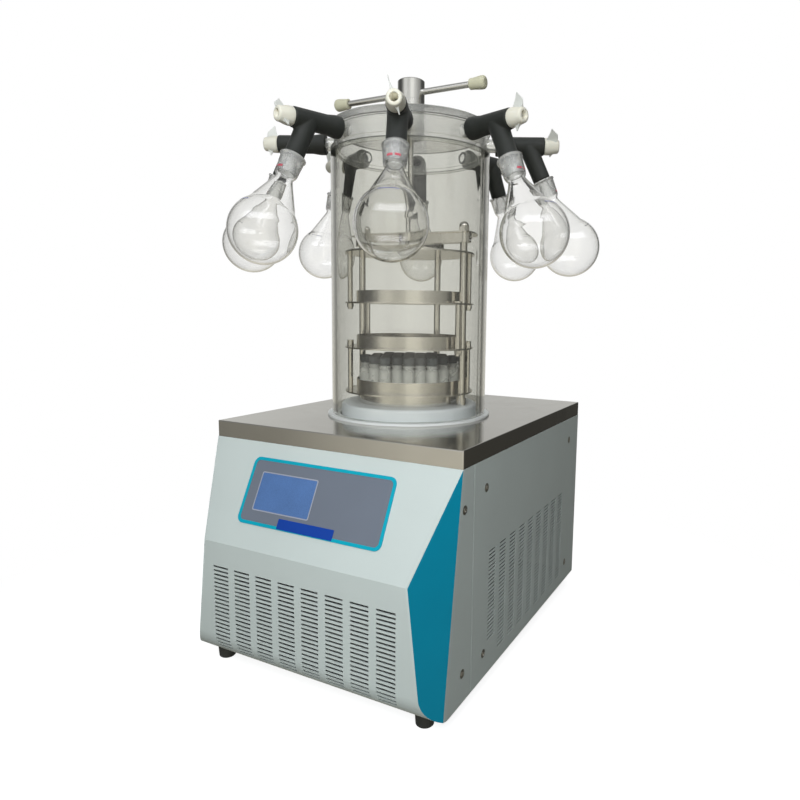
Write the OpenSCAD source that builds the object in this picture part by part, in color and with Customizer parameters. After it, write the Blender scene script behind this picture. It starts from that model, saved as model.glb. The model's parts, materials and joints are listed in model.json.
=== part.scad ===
// Bench-top freeze dryer: a steel cabinet with a cold trap, a clear drying chamber with a
// stoppering rack inside, and a manifold lid with eight valves that each hold a flask.
// Origin: chamber axis on the floor. -Y is the front, +X the right side, +Z up.

/* [Cabinet] */
// Width of the cabinet
cabinet_w = 450; // [420:1:520]
// Depth of the cabinet, nose included
cabinet_d = 615; // [590:1:680]
// Height of the cabinet from its underside to the top of the steel plate
cabinet_h = 365; // [345:1:420]
// Height of the rubber feet
foot_h = 20; // [14:0.5:30]
// Radius of a rubber foot at the floor
foot_r = 13; // [9:0.5:20]
// Distance of the feet from the sides of the cabinet
foot_in = 38; // [28:1:60]
// Distance of the feet from the front and the back of the cabinet
foot_from_end = 43; // [40:1:80]
// Thickness of the sheet steel
sheet_t = 1.5; // [1:0.1:2.5]
// Width of the folded flanges
flange_w = 14; // [10:1:20]
// How far the back panel sits in from the end of the side panels
rear_in = 3; // [2.6:0.1:6]

/* [Top plate] */
// Height of the folded edge of the steel plate
plate_t = 26.3; // [18:0.1:36]
// Radius of the folded edge
plate_edge_r = 2; // [0.5:0.1:4]
// Thickness of the steel of the top plate
plate_sheet = 1.5; // [1:0.1:3]

/* [Front bezel] */
// How far the nose stands out from the front of the steel plate
nose_reach = 73; // [50:1:90]
// Height of the bend between the sloping and the upright front
bend_h = 192.3; // [170:0.5:220]
// Radius of the rolled lower front edge
nose_r = 42; // [30:1:50]
// Length of the bezel's side cheeks behind the front of the steel plate
cheek_len = 36; // [24:1:44]
// Gap between the cheek and the side panel
seam_gap = 1.2; // [0.4:0.1:3]
// How far the corner facet cuts into the front at the bend
facet_in = 42; // [25:1:60]
// How far behind the nose the facet meets the bottom corner
facet_foot = 24.7; // [15:0.5:38]
// Thickness of the coloured corner trim
trim_t = 2; // [1:0.1:3]

/* [Control panel] */
// Width of the panel's frame
panel_w = 261; // [220:1:290]
// Height of the panel's frame along the slope
panel_h = 103.5; // [90:0.5:120]
// Distance from the plate's lower edge to the frame, along the slope
panel_top = 23.6; // [12:0.1:30]
// Width of the frame's coloured border
panel_border = 5; // [3:0.5:8]
// Corner radius of the frame
panel_r = 11; // [7:0.5:16]
// Height of the frame above the sheet
frame_t = 1.6; // [1.2:0.1:2.4]
// Thickness of the printed membrane
membrane_t = 1; // [0.6:0.1:1.1]
// Width of the display window
screen_w = 106; // [90:1:112]
// Height of the display window
screen_h = 58.6; // [44:0.2:64]
// Distance of the window's middle from the panel's middle
screen_off = 54; // [52:0.5:60]
// Clearance round the display
screen_gap = 0.2; // [0.1:0.05:0.5]

/* [Vents] */
// Columns of slots in the front
front_cols = 8; // [4:1:8]
// Slots in each front column
front_rows = 21; // [8:1:21]
// Distance between the front columns
front_col_pitch = 42.9; // [36:0.1:44]
// Length of a front slot
front_slot = 30.7; // [18:0.1:33]
// Distance between the front slots
front_row_pitch = 6.55; // [5.2:0.05:6.7]
// Height of a front slot
slot_h = 3; // [1.5:0.1:3.6]
// Distance from the bend down to the first front slot
front_vent_drop = 38; // [30:0.5:44]
// Columns of slots in a side panel
side_cols = 9; // [4:1:9]
// Slots in each full side column
side_rows = 29; // [10:1:29]
// Distance between the side columns
side_col_pitch = 41.4; // [34:0.1:43]
// Length of a side slot
side_slot = 26.5; // [16:0.1:30]
// Distance between the side slots
side_row_pitch = 6; // [5:0.05:6.2]
// Distance from the seam to the middle of the first side column
side_vent_start = 70; // [60:0.5:80]
// Height of the lowest side slot above the underside
side_vent_low = 23.5; // [20:0.5:30]
// Slots left out at the foot of the first side column
side_short = 5; // [0:1:8]

/* [Chamber] */
// Outer radius of the clear tube
tube_r = 136; // [130:0.5:142]
// Wall of the clear tube
tube_wall = 8; // [5:0.5:10]
// Height of the clear tube
tube_h = 442; // [430:1:520]
// Outer radius of the sealing ring
seal_r = 144; // [143:0.5:152]
// Thickness of the sealing ring
seal_t = 4; // [2:0.5:6]
// Clearance between the base disc and the sealing ring
seal_gap = 2; // [1:0.5:4]
// Radius of the white base disc
disc_r = 120; // [117:0.5:121]
// Thickness of the base disc
disc_t = 22.5; // [16:0.5:28]
// Radius of the opening in the base disc
disc_hole_r = 60; // [40:1:75]
// Radius of the base disc's upper edge
disc_edge_r = 5; // [2:0.5:8]

/* [Manifold] */
// Thickness of the lower flange
flange_t = 6; // [4:0.5:10]
// Height of the manifold wall between flange and lid
wall_h = 28; // [26:0.5:44]
// Outer radius of the manifold wall
wall_r = 131; // [128:0.5:134]
// Thickness of the manifold wall
wall_t = 7; // [5:0.5:9]
// Thickness of the lid
lid_t = 12; // [8:0.5:16]
// Number of ports
port_count = 8; // [8:1:8]
// Angle of the first port from the front
port_turn = 25.7; // [15:0.1:30]
// Height of the port axis above the flange
port_rise = 12; // [11.5:0.1:15]
// Outer radius of a nozzle
nozzle_r = 11; // [9.5:0.1:11.4]
// Radius of a nozzle's bore
nozzle_bore = 8; // [5:0.1:8.5]
// How far a nozzle stands out from the wall
nozzle_len = 34; // [28:0.5:40]

/* [Press handle] */
// Radius of the hub
hub_r = 23; // [22:0.5:32]
// Height of the hub's fixed lower part
hub_base_h = 43; // [36:0.5:60]
// Height of the hub's turning cap
hub_cap_h = 33; // [28:0.5:44]
// Gap under the turning cap
hub_gap = 0.3; // [0.2:0.05:0.6]
// Radius of the hub's neck through the lid
neck_r = 15; // [13:0.5:18]
// Radius of the spigot that the cap turns on
spigot_r = 12; // [10:0.5:12.5]
// Height of the spigot
spigot_h = 5; // [3:0.5:6]
// Radial running clearance
running = 0.05; // [0.02:0.01:0.1]
// Radius of the cross bar
bar_r = 5; // [3.5:0.5:5.5]
// Length of the cross bar over its grips
bar_len = 296; // [220:1:320]
// How far the cross bar has slid to the left in the hub
bar_off = 9; // [0:0.5:14]
// Length of a grip
grip_len = 28; // [20:1:36]
// Radius of a grip at its outer end
grip_r = 10.5; // [8.5:0.5:13]
// Radius of the press screw
screw_r = 5; // [4:0.5:8]
// Stroke of the press screw
press_stroke = 24; // [12:1:30]

/* [Rack] */
// Radius of the drum under the rack
drum_r = 88; // [84:0.5:95]
// Height of the drum
drum_h = 19.5; // [14:0.5:26]
// Radius of the shelves and the press plate
shelf_r = 113; // [112:0.5:116]
// Thickness of a shelf
shelf_t = 2.5; // [1.5:0.1:4]
// Distance between the shelves
layer_pitch = 76; // [72:0.5:84]
// Distance from the top shelf to the press plate
press_rise = 85; // [76:0.5:92]
// Thickness of the press plate
press_t = 3; // [2:0.1:5]
// Distance from the press plate to the rack's bridge
bridge_gap = 15; // [10:0.5:20]
// Height of the rack's bridge
bridge_h = 18; // [12:0.5:24]
// Width of the bridge's bars
bridge_w = 24; // [20:0.5:32]
// Radius of the bridge's top sheet
bridge_r = 117; // [116:0.5:122]
// Radius of a rack post
post_r = 6; // [4.5:0.1:6.5]
// Distance of the posts from the chamber axis
post_at = 103; // [101:0.5:104]
// Clearance of a moving plate round a post or rod
slide_gap = 0.35; // [0.3:0.05:0.6]
// Radius of a hanger rod
rod_r = 4.5; // [3:0.1:5]
// Distance of the hanger rods from the chamber axis
rod_at = 105; // [103:0.5:106]
// Radius of a hanger nut
rod_nut_r = 6; // [5.8:0.1:7]
// Height of a hanger nut
rod_nut_h = 6; // [4:0.5:8]

/* [Trays and vials] */
// Outer radius of a tray
tray_r = 93.5; // [86:0.5:95]
// Height of a tray
tray_h = 19.5; // [12:0.5:24]
// Thickness of a tray
tray_wall = 1.2; // [0.8:0.1:2]
// Outer radius of a vial
vial_r = 11; // [8:0.1:11]
// Height of a vial
vial_h = 45; // [30:0.5:50]
// Distance between vials
vial_pitch = 22.6; // [22.4:0.1:25]
// Clearance between the vials and the tray
vial_gap = 0.6; // [0.3:0.1:2]
// Glass of a vial
vial_glass = 1.1; // [0.8:0.1:1.5]
// Radius of a vial's mouth
mouth_r = 6.5; // [4:0.1:6.8]
// Radius of a stopper's head
stopper_r = 9.7; // [7.4:0.1:10]
// Height of a stopper's head
stopper_h = 11; // [6:0.5:12]
// How far a raised stopper stands above the vial
stopper_lift = 3; // [2:0.5:4]

/* [Valves and flasks] */
// Distance from the chamber axis to the inner end of a valve body
valve_in = 145; // [140:0.5:150]
// Distance from the chamber axis to the outer end of a valve body
valve_out = 228; // [224:0.5:236]
// Outer radius of the valve body
valve_r = 15; // [12.5:0.1:16]
// Outer radius of the valve body's swollen inner end
cuff_r = 17; // [16.2:0.1:19]
// Length of the swollen inner end
cuff_len = 24; // [18:0.5:30]
// Distance from the chamber axis to the valve's branch
branch_at = 200; // [196:0.5:206]
// Lean of the branch outwards from the vertical
branch_lean = 25; // [15:0.5:28]
// Length of the branch from the valve axis
branch_len = 62; // [54:0.5:70]
// Outer radius of the branch
branch_r = 14.8; // [13.2:0.1:15.5]
// Radius of the valve body's bore
valve_bore = 10; // [8:0.1:10.5]
// Length of the turning plug inside the valve body
plug_len = 18; // [12:0.5:20]
// Length of a valve knob
knob_len = 25; // [20:0.5:32]
// Radius of a valve knob
knob_r = 14; // [12.5:0.1:16]
// Radius of a valve knob's vent hole
knob_hole = 6; // [4:0.1:7]
// Height of a valve knob's wing above its body
wing_h = 21; // [14:0.5:24]
// Thickness of the wing
wing_t = 2.4; // [1.6:0.1:3.5]
// Radius of a flask's bulb
bulb_r = 50.5; // [44:0.5:54]
// Distance from the valve axis to the middle of the bulb
bulb_at = 185; // [180:0.5:196]
// Glass of a flask
flask_glass = 2; // [1.4:0.1:2.6]
// Outer radius of a flask's ground joint
joint_r = 18.3; // [16.6:0.1:19.5]
// Length of a flask's ground joint
joint_len = 36; // [30:0.5:40]
// Outer radius of a flask's throat
throat_r = 13; // [11:0.1:13.5]

/* [Inside] */
// Inner radius of the cold trap
trap_r = 95; // [90:0.5:98]
// Depth of the cold trap
trap_depth = 215; // [190:1:225]
// Wall of the cold trap
trap_wall = 1.5; // [1:0.1:2.5]
// Outer radius of the insulation
foam_r = 132; // [128:0.5:140]
// Radius of the evaporator tube
coil_tube_r = 4; // [3:0.5:4.5]
// Turns of the evaporator coil
coil_turns = 6; // [4:1:6]
// Distance between the turns
coil_pitch = 20; // [16:0.5:22]
// Radius of the compressor shell
compressor_r = 66; // [55:0.5:70]
// Height of the compressor shell
compressor_h = 150; // [120:1:170]
// Width of the condenser
condenser_w = 300; // [240:1:330]
// Height of the condenser
condenser_h = 190; // [150:1:200]
// Radius of the fan
fan_r = 80; // [60:1:86]

/* [Ports and inlet] */
// Inner radius of the vacuum port
vacuum_bore = 12; // [10:0.5:13]
// Outer radius of the vacuum port's pipe
vacuum_r = 14; // [13.5:0.5:15]
// Outer radius of the vacuum port's flange
vacuum_flange_r = 20; // [18:0.5:24]
// How far the vacuum port stands out from the side
vacuum_out = 32; // [26:0.5:45]
// Radius of the drain pipe
drain_r = 7; // [5.5:0.1:8]
// Height of the drain above the underside
drain_h = 60; // [44:1:80]
// Length of the drain's lever
lever_len = 38; // [26:1:44]

/* [Hidden] */

round_fn = 64;
small_fn = 32;
over = 1;

// Cabinet levels and edges
side_x = cabinet_w / 2;
nose_y = -cabinet_d / 2;
rear_y = cabinet_d / 2;
plate_front_y = nose_y + nose_reach;
seam_y = plate_front_y + cheek_len;
case_z = foot_h;
plate_top = case_z + cabinet_h;
plate_low = plate_top - plate_t;
bend_z = case_z + bend_h;
floor_top = case_z + 2 * sheet_t;
slope = atan2(nose_reach, plate_low - bend_z);
inner_x = side_x - sheet_t;
panel_gap = 0.3;

// Chamber levels
tube_low = plate_top + seal_t;
tube_top = tube_low + tube_h;
flange_top = tube_top + flange_t;
lid_low = flange_top + wall_h;
lid_top = lid_low + lid_t;
hub_top = lid_top + hub_base_h;
cap_low = hub_top + hub_gap;
cap_top = cap_low + hub_cap_h;
bar_rise = 13;
bar_z = cap_low + bar_rise;
port_z = flange_top + port_rise;
port_step = 360 / port_count;

// Rack levels
disc_top = plate_top + disc_t;
drum_top = disc_top + drum_h;
shelf_z = [for (i = [0 : 2]) drum_top + i * layer_pitch];
press_low = shelf_z[2] + press_rise;
press_top = press_low + press_t;
bridge_low = press_top + bridge_gap;
bridge_top = bridge_low + bridge_h;
bridge_sheet = 2;
post_angles = [0, 90, 180];
rod_pair_a = 31;
rod_pair_b = -10;
seat_gap = 0.3;

// ---------------------------------------------------------------- shared shapes

// Rectangle with round corners, centred
module round_rect(w, h, r) {
    square([w - 2 * r, h], center = true);
    square([w, h - 2 * r], center = true);
    for (x = [-1, 1], y = [-1, 1])
        translate([x * (w / 2 - r), y * (h / 2 - r)])
            circle(r, $fn = small_fn);
}

// Plain pipe along Z
module pipe(r_out, r_in, h) {
    difference() {
        cylinder(h, r = r_out, $fn = round_fn);
        translate([0, 0, -over])
            cylinder(h + 2 * over, r = r_in, $fn = round_fn);
    }
}

// Pair of children on opposite sides of the chamber axis
module opposite(angle, at) {
    for (turn = [0, 180])
        rotate([0, 0, angle + turn])
            translate([at, 0, 0])
                children();
}

// Children at the rack's three posts
module at_posts() {
    for (a = post_angles)
        rotate([0, 0, a])
            translate([post_at, 0, 0])
                children();
}

// Frame on the sloping front: X across, Y up the slope, Z out of it
module on_slope() {
    translate([0, plate_front_y, plate_low])
        rotate([90 - slope, 0, 0])
            children();
}

// Frame of one port: X outwards from the chamber, Z up, at the port's axis
module at_port(i) {
    rotate([0, 0, port_turn + i * port_step - 90])
        translate([0, 0, port_z])
            children();
}

// Frame of a valve's branch: Z runs down the branch, away from the valve axis
module on_branch() {
    translate([branch_at, 0, 0])
        rotate([0, 180 - branch_lean, 0])
            children();
}

// ---------------------------------------------------------------- cabinet

// Side outline of the nose, drawn with Y to the right and Z up, set in by i
function nose_slope_y(i) =
    nose_y + (i + (plate_low - i - bend_z) * sin(slope)) / cos(slope);

module nose_outline(i, back) {
    r = nose_r - i;
    difference() {
        polygon([[back, case_z + i], [nose_y + i, case_z + i],
            [nose_y + i, bend_z - i * tan(slope / 2)],
            [nose_slope_y(i), plate_low - i], [back, plate_low - i]]);
        translate([nose_y + i, case_z + i])
            difference() {
                translate([-over, -over])
                    square([r + over, r + over]);
                translate([r, r])
                    circle(r, $fn = round_fn);
            }
    }
}

module nose_block(i, back) {
    rotate([90, 0, 90])
        linear_extrude(2 * (side_x - i), center = true)
            nose_outline(i, back);
}

// Corner facet through the plate's corner, the bend and the foot of the cabinet
facet_a = [side_x, plate_front_y, plate_low];
facet_b = [side_x, nose_y + facet_foot, case_z];
facet_c = [side_x - facet_in, nose_y, bend_z];
facet_cross = cross(facet_b - facet_a, facet_a - facet_c);
facet_n = facet_cross / norm(facet_cross);
facet_tilt = acos(facet_n[2]);
facet_turn = atan2(facet_n[1], facet_n[0]);

// Everything beyond the facet, set in by i
module beyond_facet(i) {
    size = 2 * cabinet_h;
    translate(facet_a - i * facet_n)
        rotate([0, facet_tilt, facet_turn])
            translate([-size / 2, -size / 2, 0])
                cube(size);
}

module beyond_both_facets(i) {
    beyond_facet(i);
    mirror([1, 0, 0])
        beyond_facet(i);
}

// Places of the case screws on a side: [y, z]
screw_from_seam = 42;
screw_from_rear = 60;
screw_drop = 43;
screw_up = 40;
cheek_screw_in = 29;
cheek_screw_y = seam_y - cheek_screw_in;
cheek_screw_high = plate_low - 57;
cheek_screw_low = case_z + 45;
screw_places = [[cheek_screw_y, cheek_screw_high], [cheek_screw_y, cheek_screw_low],
    [seam_y + screw_from_seam, plate_low - screw_drop],
    [seam_y + screw_from_seam, case_z + screw_up],
    [rear_y - screw_from_rear, plate_low - screw_drop],
    [rear_y - screw_from_rear, case_z + screw_up]];
screw_shank_r = 2;
screw_hole_r = 2.3;
screw_head_r = 4.6;
screw_head_h = 2.2;
rear_screw_x = inner_x - 8;
rear_screw_z = [case_z + 30, (case_z + plate_low) / 2, plate_low - 30];

module side_screw_holes() {
    for (p = screw_places)
        translate([-side_x - over, p[0], p[1]])
            rotate([0, 90, 0])
                cylinder(2 * side_x + 2 * over, r = screw_hole_r, $fn = small_fn);
}

module front_slots() {
    for (c = [0 : front_cols - 1], k = [0 : front_rows - 1])
        translate([(c - (front_cols - 1) / 2) * front_col_pitch - front_slot / 2, nose_y - over,
            bend_z - front_vent_drop - k * front_row_pitch - slot_h])
            cube([front_slot, nose_r / 2 + over, slot_h]);
}

module screen_window(w_gap) {
    translate([-screen_off, -panel_top - panel_h / 2])
        square([screen_w + 2 * w_gap, screen_h + 2 * w_gap], center = true);
}

module front_bezel() {
    color("lightgray")
        difference() {
            nose_block(0, seam_y);
            nose_block(sheet_t, seam_y + over);
            beyond_both_facets(trim_t);
            front_slots();
            side_screw_holes();
            on_slope()
                translate([0, 0, -2 * sheet_t])
                    linear_extrude(3 * sheet_t)
                        screen_window(screen_gap);
        }
    color("lightgray")
        intersection() {
            difference() {
                nose_block(sheet_t, seam_y);
                beyond_both_facets(trim_t);
            }
            union() {
                beyond_facet(trim_t + sheet_t);
                mirror([1, 0, 0])
                    beyond_facet(trim_t + sheet_t);
            }
        }
}

module trim_slab() {
    intersection() {
        nose_block(0, seam_y);
        difference() {
            beyond_facet(trim_t);
            beyond_facet(0);
        }
    }
}

module corner_trim_right() {
    color("teal")
        trim_slab();
}

module corner_trim_left() {
    color("teal")
        mirror([1, 0, 0])
            trim_slab();
}

// Side panel: slotted sheet in the YZ plane with flanges folded inwards
panel_front = seam_y + seam_gap;
panel_len = rear_y - panel_front;
panel_rise = plate_low - case_z;
flange_len = panel_len - rear_in - sheet_t;

module side_slots_2d() {
    for (c = [0 : side_cols - 1], k = [(c == 0 ? side_short : 0) : side_rows - 1])
        translate([seam_y + side_vent_start + c * side_col_pitch - side_slot / 2,
            case_z + side_vent_low + k * side_row_pitch])
            square([side_slot, slot_h]);
}

module side_panel_blank() {
    translate([inner_x, 0, 0])
        rotate([90, 0, 90])
            linear_extrude(sheet_t)
                difference() {
                    translate([panel_front, case_z])
                        square([panel_len, panel_rise]);
                    side_slots_2d();
                    for (p = screw_places)
                        translate(p)
                            circle(screw_hole_r, $fn = small_fn);
                }
    translate([inner_x - flange_w, panel_front, case_z])
        cube([flange_w, flange_len, sheet_t]);
    translate([inner_x - flange_w, panel_front, plate_low - sheet_t])
        cube([flange_w, flange_len, sheet_t]);
    translate([inner_x - flange_w, rear_y - rear_in - 2 * sheet_t, case_z + sheet_t])
        difference() {
            cube([flange_w, sheet_t, panel_rise - 2 * sheet_t]);
            for (z = rear_screw_z)
                translate([flange_w - inner_x + rear_screw_x, -over, z - case_z - sheet_t])
                    rotate([-90, 0, 0])
                        cylinder(sheet_t + 2 * over, r = screw_hole_r, $fn = small_fn);
        }
}

module side_panel_right() {
    color("gray")
        side_panel_blank();
}

module side_panel_left() {
    color("gray")
        difference() {
            mirror([1, 0, 0])
                side_panel_blank();
            at_vacuum_port()
                cylinder(side_x, r = vacuum_r + panel_gap, $fn = round_fn);
            at_drain()
                cylinder(side_x, r = drain_r + panel_gap, $fn = small_fn);
        }
}

// Rear panel with vents and the cut-out for the mains inlet
rear_w = 2 * (inner_x - panel_gap);
rear_slot = 60;
rear_cols = 4;
rear_rows = 16;
rear_row_pitch = 8;
rear_col_pitch = 90;
inlet_w = 28;
inlet_h = 58;
inlet_x = -150;
inlet_z = case_z + 75;
rear_face = rear_y - rear_in;

module rear_panel() {
    color("gray")
        translate([0, rear_face, 0])
            rotate([90, 0, 0])
                linear_extrude(sheet_t)
                    difference() {
                        translate([-rear_w / 2, case_z])
                            square([rear_w, panel_rise]);
                        for (c = [0 : rear_cols - 1], k = [0 : rear_rows - 1])
                            translate([(c - (rear_cols - 1) / 2) * rear_col_pitch - rear_slot / 2,
                                plate_low - 50 - k * rear_row_pitch])
                                square([rear_slot, slot_h]);
                        translate([inlet_x, inlet_z])
                            square([inlet_w + 0.4, inlet_h + 0.4], center = true);
                        for (s = [-1, 1], z = rear_screw_z)
                            translate([s * rear_screw_x, z])
                                circle(screw_hole_r, $fn = small_fn);
                    }
}

// Base pan: floor on the flanges, with two pads pressed down for the rear feet
foot_x = side_x - foot_in;
front_foot_y = nose_y + foot_from_end;
rear_foot_y = rear_y - foot_from_end;
pan_side = 2 * (inner_x - panel_gap);
pan_front = seam_y - 66;
pan_rear = rear_face - 2 * sheet_t - panel_gap;
pan_lip = 22;

module base_pan() {
    pan_len = pan_rear - pan_front;
    side_len = pan_rear - seam_y - seam_gap;
    color("silver") {
        difference() {
            translate([-pan_side / 2 + sheet_t, pan_front, case_z + sheet_t])
                cube([pan_side - 2 * sheet_t, pan_len, sheet_t]);
            beyond_both_facets(trim_t + sheet_t + panel_gap);
        }
        for (s = [-1, 1]) {
            translate([s > 0 ? pan_side / 2 - sheet_t : -pan_side / 2, seam_y + seam_gap,
                case_z + sheet_t])
                cube([sheet_t, side_len, pan_lip]);
            translate([s * foot_x, rear_foot_y, case_z])
                cylinder(sheet_t, r = foot_r + 4, $fn = round_fn);
        }
    }
}

module rubber_feet() {
    color("black")
        for (x = [-foot_x, foot_x], y = [front_foot_y, rear_foot_y])
            translate([x, y, 0])
                rotate_extrude($fn = round_fn)
                    difference() {
                        polygon([[0, 0], [foot_r - 1.5, 0], [foot_r, 1.5],
                            [foot_r + 1.5, foot_h], [0, foot_h]]);
                        square([4.5, 5]);
                    }
}

module case_screws() {
    color("dimgray") {
        for (s = [0, 1], p = screw_places)
            mirror([s, 0, 0])
                translate([side_x, p[0], p[1]])
                    rotate([0, 90, 0])
                        case_screw();
        for (s = [-1, 1], z = rear_screw_z)
            translate([s * rear_screw_x, rear_face, z])
                rotate([-90, 0, 0])
                    case_screw();
    }
}

// Pan-head screw along Z, its head standing on z = 0
module case_screw() {
    dome_r = 7;
    intersection() {
        cylinder(screw_head_h, r = screw_head_r, $fn = small_fn);
        translate([0, 0, screw_head_h - dome_r])
            sphere(dome_r, $fn = round_fn);
    }
    translate([0, 0, -4 * sheet_t])
        cylinder(4 * sheet_t + over, r = screw_shank_r, $fn = small_fn);
}

// Folded steel plate: a shallow pan turned upside down, with a hole for the trap
module top_plate() {
    len = rear_y - plate_front_y;
    color("silver")
        translate([0, plate_front_y, 0])
            difference() {
                translate([-side_x, 0, plate_low])
                    cube([cabinet_w, len, plate_t]);
                translate([-inner_x, sheet_t, plate_low + sheet_t])
                    cube([2 * inner_x, len - 2 * sheet_t, plate_t - plate_sheet - sheet_t]);
                translate([flange_w - inner_x, flange_w + sheet_t, plate_low - over])
                    cube([2 * (inner_x - flange_w), len - 2 * (flange_w + sheet_t),
                        sheet_t + 2 * over]);
                translate([0, -plate_front_y, plate_low])
                    cylinder(plate_t + over, r = trap_r, $fn = 2 * round_fn);
                for (s = [0, 1]) {
                    mirror([s, 0, 0])
                        translate([side_x, len / 2, plate_top])
                            rotate([90, 0, 0])
                                edge_cut(plate_edge_r, len + 2 * over);
                    translate([0, s * len, plate_top])
                        mirror([0, 1 - s, 0])
                            rotate([90, 0, 90])
                                edge_cut(plate_edge_r, cabinet_w + 2 * over);
                    for (t = [0, 1])
                        translate([0, t * len, plate_low + plate_t / 2])
                            mirror([s, 0, 0])
                                mirror([0, 1 - t, 0])
                                    translate([side_x, 0, 0])
                                        edge_cut(plate_edge_r, plate_t + 2 * over);
                }
            }
}

// Cutter that rounds the corner at the origin of a solid lying at x < 0, y < 0
module edge_cut(r, len) {
    linear_extrude(len, center = true)
        difference() {
            translate([-r, -r])
                square(r + over);
            translate([-r, -r])
                circle(r, $fn = small_fn);
        }
}

// ---------------------------------------------------------------- control panel

module panel_frame() {
    color("darkcyan")
        on_slope()
            linear_extrude(frame_t)
                translate([0, -panel_top - panel_h / 2])
                    difference() {
                        round_rect(panel_w, panel_h, panel_r);
                        round_rect(panel_w - 2 * panel_border, panel_h - 2 * panel_border,
                            panel_r - panel_border + 1);
                    }
}

module control_panel() {
    color("slategray")
        on_slope()
            linear_extrude(membrane_t)
                difference() {
                    translate([0, -panel_top - panel_h / 2])
                        round_rect(panel_w - 2 * panel_border, panel_h - 2 * panel_border,
                            panel_r - panel_border + 1);
                    screen_window(screen_gap);
                }
}

module display_screen() {
    ear = 5;
    color("steelblue")
        on_slope() {
            translate([0, 0, -sheet_t])
                linear_extrude(sheet_t + membrane_t)
                    screen_window(0);
            translate([0, 0, -sheet_t - 6])
                linear_extrude(6)
                    screen_window(ear);
        }
}

// ---------------------------------------------------------------- inside the cabinet

trap_top = plate_top - plate_sheet;
trap_out = trap_r + trap_wall;
trap_floor = trap_top - trap_depth;
coil_steps = 24;
coil_r = (trap_out + seat_gap) / cos(180 / coil_steps) + coil_tube_r;
coil_low = trap_floor + 18;
foam_in = coil_r + coil_tube_r + seat_gap;
foam_low = trap_floor - 26;
foam_top = trap_top - 2 * trap_wall;

// Vacuum port and drain leave the trap towards the left side
vacuum_z = coil_low + coil_turns * coil_pitch + coil_tube_r + vacuum_r + 8;
drain_z = case_z + drain_h;
drain_y = 90;

module at_vacuum_port() {
    translate([-trap_r, 0, vacuum_z])
        rotate([0, -90, 0])
            children();
}

module at_drain() {
    translate([0, drain_y, drain_z])
        rotate([0, -90, 0])
            children();
}

module cold_trap() {
    color("silver")
        difference() {
            union() {
                rotate_extrude($fn = 2 * round_fn)
                    difference() {
                        union() {
                            translate([0, trap_floor])
                                square([trap_out, trap_depth]);
                            translate([0, trap_top - 2 * trap_wall])
                                square([trap_out + 14, 2 * trap_wall]);
                        }
                        translate([0, trap_floor + trap_wall])
                            square([trap_r, trap_depth]);
                    }
                translate([0, 0, trap_floor - 10])
                    cylinder(10, r = drain_r + 3, $fn = small_fn);
            }
            translate([0, 0, trap_floor - 10 - over])
                cylinder(30, r = drain_r + seat_gap, $fn = small_fn);
            at_vacuum_port()
                translate([0, 0, -over])
                    cylinder(trap_wall * 3, r = vacuum_r + 0.2, $fn = round_fn);
        }
}

module trap_insulation() {
    color("khaki")
        difference() {
            translate([0, 0, foam_low])
                cylinder(foam_top - foam_low, r = foam_r, $fn = 2 * round_fn);
            translate([0, 0, trap_floor - seat_gap])
                cylinder(trap_depth + over, r = foam_in, $fn = 2 * round_fn);
            translate([0, 0, foam_low - over])
                cylinder(trap_floor - foam_low + 2 * over, r = drain_r + 4, $fn = small_fn);
            at_vacuum_port()
                cylinder(foam_r, r = vacuum_r + 1, $fn = round_fn);
        }
}

// Copper tube wound round the trap
coil_sides = 8;
coil_rings = coil_turns * coil_steps;

function coil_point(i, k) =
    let (a = i * 360 / coil_steps, b = k * 360 / coil_sides,
        r = coil_r + coil_tube_r * cos(b))
    [r * cos(a), r * sin(a), coil_low + coil_pitch * i / coil_steps + coil_tube_r * sin(b)];

function coil_index(i, k) = i * coil_sides + k % coil_sides;

module evaporator_coil() {
    points = [for (i = [0 : coil_rings], k = [0 : coil_sides - 1]) coil_point(i, k)];
    walls = [for (i = [0 : coil_rings - 1], k = [0 : coil_sides - 1])
        [coil_index(i, k), coil_index(i, k + 1), coil_index(i + 1, k + 1), coil_index(i + 1, k)]];
    first = [for (k = [0 : coil_sides - 1]) coil_index(0, coil_sides - 1 - k)];
    last = [for (k = [0 : coil_sides - 1]) coil_index(coil_rings, k)];
    color("peru")
        polyhedron(points, concat(walls, [first, last]));
}

// Hermetic compressor on four rubber mounts
compressor_x = 60;
compressor_y = rear_y - 95;
mount_h = 12;

module compressor() {
    dome = 34;
    foot = compressor_r * 0.8;
    color("dimgray")
        translate([compressor_x, compressor_y, floor_top]) {
            translate([0, 0, mount_h])
                rotate_extrude($fn = round_fn) {
                    square([compressor_r - dome / 2, compressor_h]);
                    square([compressor_r, compressor_h - dome / 2]);
                    translate([compressor_r - dome / 2, compressor_h - dome / 2])
                        circle(dome / 2, $fn = small_fn);
                    translate([0, compressor_h * 0.55])
                        square([compressor_r + 3, 6]);
                }
            translate([0, 0, mount_h])
                linear_extrude(3)
                    difference() {
                        round_rect(2 * foot + 24, 2 * foot + 24, 12);
                        for (x = [-foot, foot], y = [-foot, foot])
                            translate([x, y])
                                circle(4, $fn = small_fn);
                    }
            for (x = [-foot, foot], y = [-foot, foot])
                translate([x, y, 0])
                    cylinder(mount_h, r = 9, $fn = small_fn);
        }
}

// Finned condenser behind the front slots
condenser_y = nose_y + 36;
condenser_d = 36;
fin_pitch = 8;
fin_t = 1;
tube_rows = 5;

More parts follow.
